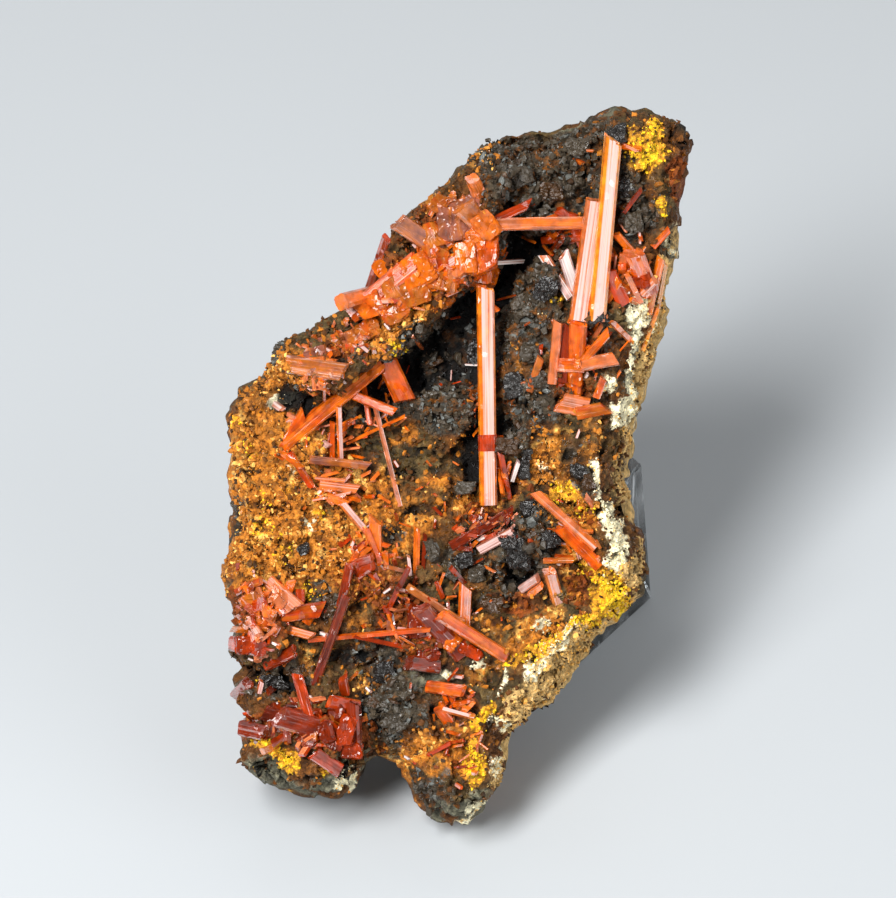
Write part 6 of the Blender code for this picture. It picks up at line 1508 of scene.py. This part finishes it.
def grain_finish(settings, mineral):
    """The loose grains of one mineral: the slab's own colour for it, lighter or darker from grain to grain,
    with some of a second mineral. Most are dull and earthy; goethite has a faint metallic gleam on its broken
    faces, and some grains of each have a bright face."""
    second, dull, specular = GRAIN_FINISHES[mineral]
    made, tree, shader = new_finish(mineral + "_grains")
    place = add_node(tree, "TexCoord").outputs["Object"]
    width, detail, roughness = GOSSAN_NOISES["fine"]
    inputs = {"Vector": place, "Scale": to_the_metre(width), "Detail": detail, "Roughness": roughness}
    fine = add_node(tree, "TexNoise", inputs).outputs["Fac"]
    own = add_node(tree, "Attribute", attribute_name="tone").outputs["Fac"]
    both = add_node(tree, "Math", {0: own, 1: 0.6, 2: fine}, operation="MULTIPLY_ADD").outputs[0]
    tone = full_colour(settings, mineral)
    tone, _ = lay_over(tree, tone, full_colour(settings, "umber"), own, 0.16, 0.1, "LINEAR")
    tone, _ = lay_over(tree, tone, full_colour(settings, second), own, 0.82, 0.9, "LINEAR")
    tree.links.new(lighten(tree, tone, both, 0.35, 1.25, 0.45, 1.35), shader.inputs["Base Color"])
    mask = glinting(tree, shader, place, fine, 0.4, 0.7, 0.3846, 0.1)
    rough = add_node(tree, "MapRange", {"Value": mask, "To Min": dull, "To Max": 0.12})
    tree.links.new(rough.outputs[0], shader.inputs["Roughness"])
    shader.inputs["Specular IOR Level"].default_value = specular
    return made


# The finishes of crocoite: the colour of the body, of its depth, and of its white faces, which is partly the
# white of the striae and partly painted reflection.
CROCOITE_COLOURS = {
    "orange": ("orange", "ember", "frost_and_sheen"), "gold": ("gold", "orange", "frost_and_sheen"),
    "scarlet": ("scarlet", "deep", "pink"), "deep": ("deep", "deepest", "pink"),
    "pink": ("pink", "orange", "frost_and_sheen"), "amber": ("amber", "scarlet", "frost_and_sheen"),
    "plum": ("plum", "amber", "frost_and_sheen"), "white": ("frost_and_sheen", "pink", "silver_sheen"),
}


# The patterns of crocoite, in millimetres: width and length of its white lines, and of the patches where its
# depth shows, and the width of the clouds in it and of its bright facets. Real striae are about a tenth of a
# millimetre apart; the lines are drawn three times as coarse, so that they show.
STRIAE = (0.3125, 25)
DEPTH_PATCH = (1.111, 4.167)
CLOUD = 1.4286
FACET = 0.7692


def crocoite_finishes(settings):
    """The finishes of crocoite by name, each made once."""
    made = bpy.data.materials
    return {name: made.get("crocoite_" + name) or crocoite(settings, name) for name in CROCOITE_COLOURS}


def crocoite(settings, name):
    """Crocoite: lead chromate grown in striated prisms, orange to red, and clear enough to glow, with the
    bright lustre of a very high index on its flat faces. Where a face is striated or etched it shows white
    lines that run along the prism; how thickly they lie on a face is painted reflection, set by the way the
    face looks, in place of a soft box mirrored in it."""
    body, depth, sheen_colour = (full_colour(settings, each) for each in CROCOITE_COLOURS[name])
    made, tree, shader = new_finish("crocoite_" + name)
    striae = add_node(tree, "Attribute", attribute_name="striae").outputs["Vector"]
    pale, own = (add_node(tree, "Attribute", attribute_name=each).outputs["Fac"] for each in ("pale", "tone"))
    line, patch = (
        add_node(tree, "Mapping", {"Vector": striae, "Scale": (1 / width, 1 / length, 1.0)}).outputs[0]
        for width, length in (STRIAE, DEPTH_PATCH)
    )
    inputs = {"Vector": line, "Scale": 1.0, "Detail": 2.5, "Roughness": 0.62}
    lines = add_node(tree, "TexNoise", inputs).outputs["Fac"]
    drift = add_node(tree, "TexNoise", {"Vector": patch, "Scale": 1.0, "Detail": 3.0}).outputs["Fac"]
    place = add_node(tree, "TexCoord").outputs["Object"]
    inputs = {"Vector": place, "Scale": to_the_metre(CLOUD), "Detail": 3.0}
    cloud = add_node(tree, "TexNoise", inputs).outputs["Fac"]
    both = add_node(tree, "Math", {0: own, 1: 0.3, 2: drift}, operation="MULTIPLY_ADD").outputs[0]
    tone, _ = lay_over(tree, body, depth, both, 0.48, 0.84)
    tone = lighten(tree, tone, cloud, 0.34, 0.62, 0.6, 1.15)
    # Painted reflection: white laid along the lines of the striae, the more the whiter a face is made.
    sheen_lines = add_node(tree, "Math", {0: pale, 1: 0.5, 2: lines}, operation="MULTIPLY_ADD").outputs[0]
    tone, share = lay_over(tree, tone, sheen_colour, sheen_lines, 0.64, 1.0)
    tree.links.new(tone, shader.inputs["Base Color"])
    clear = add_node(tree, "MapRange", {"Value": share, "To Min": settings.clearness, "To Max": 0.0})
    tree.links.new(clear.outputs[0], shader.inputs["Transmission Weight"])
    glinting(tree, shader, place, lines, 0.08, 0.6, FACET, 0.1)
    shader.inputs["Roughness"].default_value = 0.17
    shader.inputs["Specular IOR Level"].default_value = 0.15
    shader.inputs["IOR"].default_value = 1.6
    return made


# The wear of the acrylic, in millimetres: the size of the cells that its scratches are drawn from, and of its
# haze. A real handling scratch is a hair's width; these are drawn several times as coarse, so that they show.
SCRATCHES = (1.111, 33.33, 16.67)
HAZE = 4.167


def acrylic(settings):
    """Cast acrylic: clear, polished on its faces, with fine handling scratches and a faint blue in it."""
    made, tree, shader = new_finish("clear_acrylic")
    place = add_node(tree, "TexCoord").outputs["Object"]
    scale = tuple(to_the_metre(width) for width in SCRATCHES)
    drawn = add_node(tree, "Mapping", {"Vector": place, "Rotation": (0.4, 0.9, 0.3), "Scale": scale})
    lines = add_node(tree, "TexNoise", {"Vector": drawn.outputs[0], "Scale": 1.0, "Detail": 1.0})
    scratch = add_node(tree, "MapRange", {"Value": lines.outputs["Fac"], "From Min": 0.66, "From Max": 0.74})
    rough = add_node(tree, "MapRange", {"Value": scratch.outputs[0], "To Min": 0.02, "To Max": 0.25})
    tree.links.new(rough.outputs[0], shader.inputs["Roughness"])
    haze = add_node(tree, "TexNoise", {"Vector": place, "Scale": to_the_metre(HAZE), "Detail": 5.0})
    limits = {"Value": haze.outputs["Fac"], "From Min": 0.35, "From Max": 0.7, "To Min": 0.04, "To Max": 0.2}
    worn = add_node(tree, "MapRange", limits, interpolation_type="SMOOTHSTEP")
    scuffed = add_node(tree, "Math", {0: scratch.outputs[0], 1: -0.6, 2: 1.0}, operation="MULTIPLY_ADD")
    clear = add_node(tree, "Math", {0: scuffed.outputs[0], 1: worn.outputs[0]}, operation="SUBTRACT")
    tree.links.new(clear.outputs[0], shader.inputs["Transmission Weight"])
    shader.inputs["Base Color"].default_value = full_colour(settings, "acrylic")
    shader.inputs["IOR"].default_value = 1.49
    return made


def finish_block(settings):
    """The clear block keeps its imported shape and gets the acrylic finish."""
    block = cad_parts["clear_block"]
    block.data.materials.clear()
    block.data.materials.append(acrylic(settings))


def paper(settings):
    """Matt backdrop paper, the same all over."""
    made, _, shader = new_finish("backdrop_paper")
    shader.inputs["Base Color"].default_value = full_colour(settings, "floor")
    shader.inputs["Roughness"].default_value = 0.9
    return made


# The soft boxes: name, turn from the front towards the right and rise in degrees, then distance, width and
# height in metres.
SOFT_BOXES = [
    ("key_light", -36, 50, 0.9, 0.24, 0.6), ("fill_light", 60, 24, 1.4, 1.2, 1.2),
    ("back_light", 165, 50, 1.4, 1.2, 1.0),
]


def soft_box(name, turn, rise, distance, width, height, power):
    """An area light that looks at the specimen."""
    light = bpy.data.lights.new(name, "AREA")
    light.shape = "RECTANGLE"
    light.size, light.size_y = width, height
    light.energy = power
    obj = bpy.data.objects.new(name, light)
    turn, rise = math.radians(turn), math.radians(rise)
    away = Vector((math.sin(turn) * math.cos(rise), -math.cos(turn) * math.cos(rise), math.sin(rise)))
    obj.location = Vector(LIT_POINT) + away * distance
    obj.rotation_euler = (-away).to_track_quat("-Z", "Y").to_euler()
    bpy.context.scene.collection.objects.link(obj)


def make_stage(settings):
    """A pale floor, a pale surround, soft lights, and the camera that looks squarely at the slab's face."""
    edge = np.linspace(-FLOOR_HALF, FLOOR_HALF, 9)
    x, y = np.meshgrid(edge, edge)
    points = np.stack([x, y, np.zeros_like(x)], -1).reshape(-1, 3)
    floor = mesh_piece("floor", points, [grid_quads(np.arange(x.size).reshape(x.shape))], [paper(settings)])
    scene = bpy.context.scene
    scene.world = bpy.data.worlds.new("surround")
    scene.world.use_nodes = True
    ground = scene.world.node_tree.nodes["Background"]
    ground.inputs["Color"].default_value = full_colour(settings, "surround")
    ground.inputs["Strength"].default_value = settings.surround_light
    for name, *placing in SOFT_BOXES:
        soft_box(name, *placing, getattr(settings, name))
    camera = bpy.data.objects.new("camera", bpy.data.cameras.new("camera"))
    camera.data.lens = 180.0
    camera.data.sensor_width = 36.0
    camera.data.dof.use_dof = False
    camera.data.clip_end = 20.0
    at, aim = (Vector(to_world((*CAMERA_CENTRE, height))) for height in (VIEW_DISTANCE, 0.0))
    camera.location = at
    camera.rotation_euler = (aim - at).to_track_quat("-Z", "Y").to_euler()
    scene.collection.objects.link(camera)
    scene.camera = camera
    scene.view_settings.view_transform = "Standard"


def colour_setting(name, code, says):
    """A colour property with its default given as an sRGB hex value."""
    return bpy.props.FloatVectorProperty(
        name=name, description=says, subtype="COLOR", size=3, min=0.0, max=1.0, default=colour(code)
    )


class SpecimenSettings(bpy.types.PropertyGroup):
    """Colours and lights of the specimen."""
    sienna: colour_setting("Sienna", "#8a4a10", "Pits of the crust")
    brown: colour_setting("Brown", "#643a10", "Plain limonite")
    olive: colour_setting("Olive", "#564424", "Duller limonite")
    umber: colour_setting("Umber", "#4e3216", "Pits and dark grains")
    ash: colour_setting("Ash", "#6c6854", "Grey-green weathered skin")
    tan: colour_setting("Tan", "#d2ac6c", "Broken sides")
    black: colour_setting("Black", "#42382a", "Goethite fragments")
    ochre: colour_setting("Ochre", "#b87020", "Granular crust")
    honey: colour_setting("Honey", "#ecb65c", "Lightest granules")
    yellow: colour_setting("Yellow", "#f8cc22", "Powdery crust")
    gilt: colour_setting("Gilt", "#dc9a26", "Thinner powdery crust")
    cream: colour_setting("Cream", "#fff4cc", "Clay")
    rust: colour_setting("Rust", "#7e3c0a", "Red iron stain")
    slate: colour_setting("Slate", "#60625e", "Bluish goethite")
    goethite: colour_setting("Goethite", "#231f1c", "Black, bright lumps")
    orange: colour_setting("Orange", "#f4760c", "Bright crystals")
    ember: colour_setting("Ember", "#d85204", "Depth of the bright crystals")
    gold: colour_setting("Gold", "#fa9e24", "Orange sides of the long crystals")
    scarlet: colour_setting("Scarlet", "#c23c02", "Red-orange crystals")
    deep: colour_setting("Deep red", "#8c2800", "Dark crystals")
    deepest: colour_setting("Deepest red", "#5a1602", "Darkest crystals")
    pink: colour_setting("Pink", "#d87848", "Etched crystals")
    amber: colour_setting("Amber", "#c86c1c", "Yellow-brown crystals")
    plum: colour_setting("Plum", "#9c5a46", "Dull violet-brown crystals")
    # The white of the crystals' faces, partly the white of their striae and partly painted reflection.
    frost_and_sheen: colour_setting("Frost", "#d8b2aa", "Pale striated faces")
    silver_sheen: colour_setting("Silver", "#e6dcd6", "The palest faces")
    acrylic: colour_setting("Acrylic", "#f4f9fb", "Clear block")
    floor: colour_setting("Floor", "#b6babd", "Backdrop")
    surround: colour_setting("Surround", "#dfe3e6", "Light from all round")
    clearness: bpy.props.FloatProperty(
        name="Clearness", description="How much light passes into a crystal", default=0.35, min=0.0, max=1.0,
        subtype="FACTOR",
    )
    surround_light: bpy.props.FloatProperty(
        name="Surround light", description="Strength of the light from all round", default=0.27, min=0.0
    )
    key_light: bpy.props.FloatProperty(
        name="Key light", description="Power of the soft box at the left", default=14.0, min=0.0, unit="POWER"
    )
    fill_light: bpy.props.FloatProperty(
        name="Fill light", description="Power of the soft box at the right", default=9.0, min=0.0,
        unit="POWER",
    )
    back_light: bpy.props.FloatProperty(
        name="Back light", description="Power of the soft box behind", default=3.0, min=0.0, unit="POWER"
    )


class SPECIMEN_OT_slab(bpy.types.Operator):
    """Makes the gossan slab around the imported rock"""
    bl_idname = "specimen.slab"
    bl_label = "Gossan slab"

    def execute(self, context):
        make_slab(context.scene.specimen)
        return {"FINISHED"}


class SPECIMEN_OT_grains(bpy.types.Operator):
    """Makes the loose grains and fragments on the slab"""
    bl_idname = "specimen.grains"
    bl_label = "Grains"

    def execute(self, context):
        make_grains(context.scene.specimen)
        return {"FINISHED"}


class SPECIMEN_OT_crystals(bpy.types.Operator):
    """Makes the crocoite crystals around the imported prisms"""
    bl_idname = "specimen.crystals"
    bl_label = "Crystals"

    def execute(self, context):
        make_crystals(context.scene.specimen)
        return {"FINISHED"}


class SPECIMEN_OT_lumps(bpy.types.Operator):
    """Makes the lumps of grown-together crystal and of goethite"""
    bl_idname = "specimen.lumps"
    bl_label = "Lumps"

    def execute(self, context):
        make_lumps(context.scene.specimen)
        return {"FINISHED"}


class SPECIMEN_OT_small_crystals(bpy.types.Operator):
    """Makes the clusters of small crystals"""
    bl_idname = "specimen.small_crystals"
    bl_label = "Small crystals"

    def execute(self, context):
        make_small_crystals(context.scene.specimen)
        return {"FINISHED"}


class SPECIMEN_OT_block(bpy.types.Operator):
    """Gives the clear block its finish"""
    bl_idname = "specimen.block"
    bl_label = "Clear block"

    def execute(self, context):
        finish_block(context.scene.specimen)
        return {"FINISHED"}


class SPECIMEN_OT_stage(bpy.types.Operator):
    """Makes the floor, the lights and the camera"""
    bl_idname = "specimen.stage"
    bl_label = "Stage"

    def execute(self, context):
        make_stage(context.scene.specimen)
        return {"FINISHED"}


class SPECIMEN_PT_panel(bpy.types.Panel):
    """Lists the pieces of the specimen and its settings"""
    bl_idname = "SPECIMEN_PT_panel"
    bl_label = "Specimen"
    bl_space_type = "VIEW_3D"
    bl_region_type = "UI"
    bl_category = "Specimen"

    def draw(self, context):
        for operator in OPERATORS:
            self.layout.operator(operator.bl_idname)
        for name in SpecimenSettings.__annotations__:
            self.layout.prop(context.scene.specimen, name)


OPERATORS = [SPECIMEN_OT_slab, SPECIMEN_OT_grains, SPECIMEN_OT_crystals, SPECIMEN_OT_lumps,
             SPECIMEN_OT_small_crystals, SPECIMEN_OT_block, SPECIMEN_OT_stage]
CLASSES = [SpecimenSettings, *OPERATORS, SPECIMEN_PT_panel]


def register():
    for each in CLASSES:
        bpy.utils.register_class(each)
    bpy.types.Scene.specimen = bpy.props.PointerProperty(type=SpecimenSettings)


def unregister():
    del bpy.types.Scene.specimen
    for each in reversed(CLASSES):
        bpy.utils.unregister_class(each)


def main():
    """Registers the classes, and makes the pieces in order."""
    register()
    bpy.ops.specimen.slab()
    bpy.ops.specimen.grains()
    bpy.ops.specimen.crystals()
    bpy.ops.specimen.lumps()
    bpy.ops.specimen.small_crystals()
    bpy.ops.specimen.block()
    bpy.ops.specimen.stage()


if __name__ == "__main__":
    main()
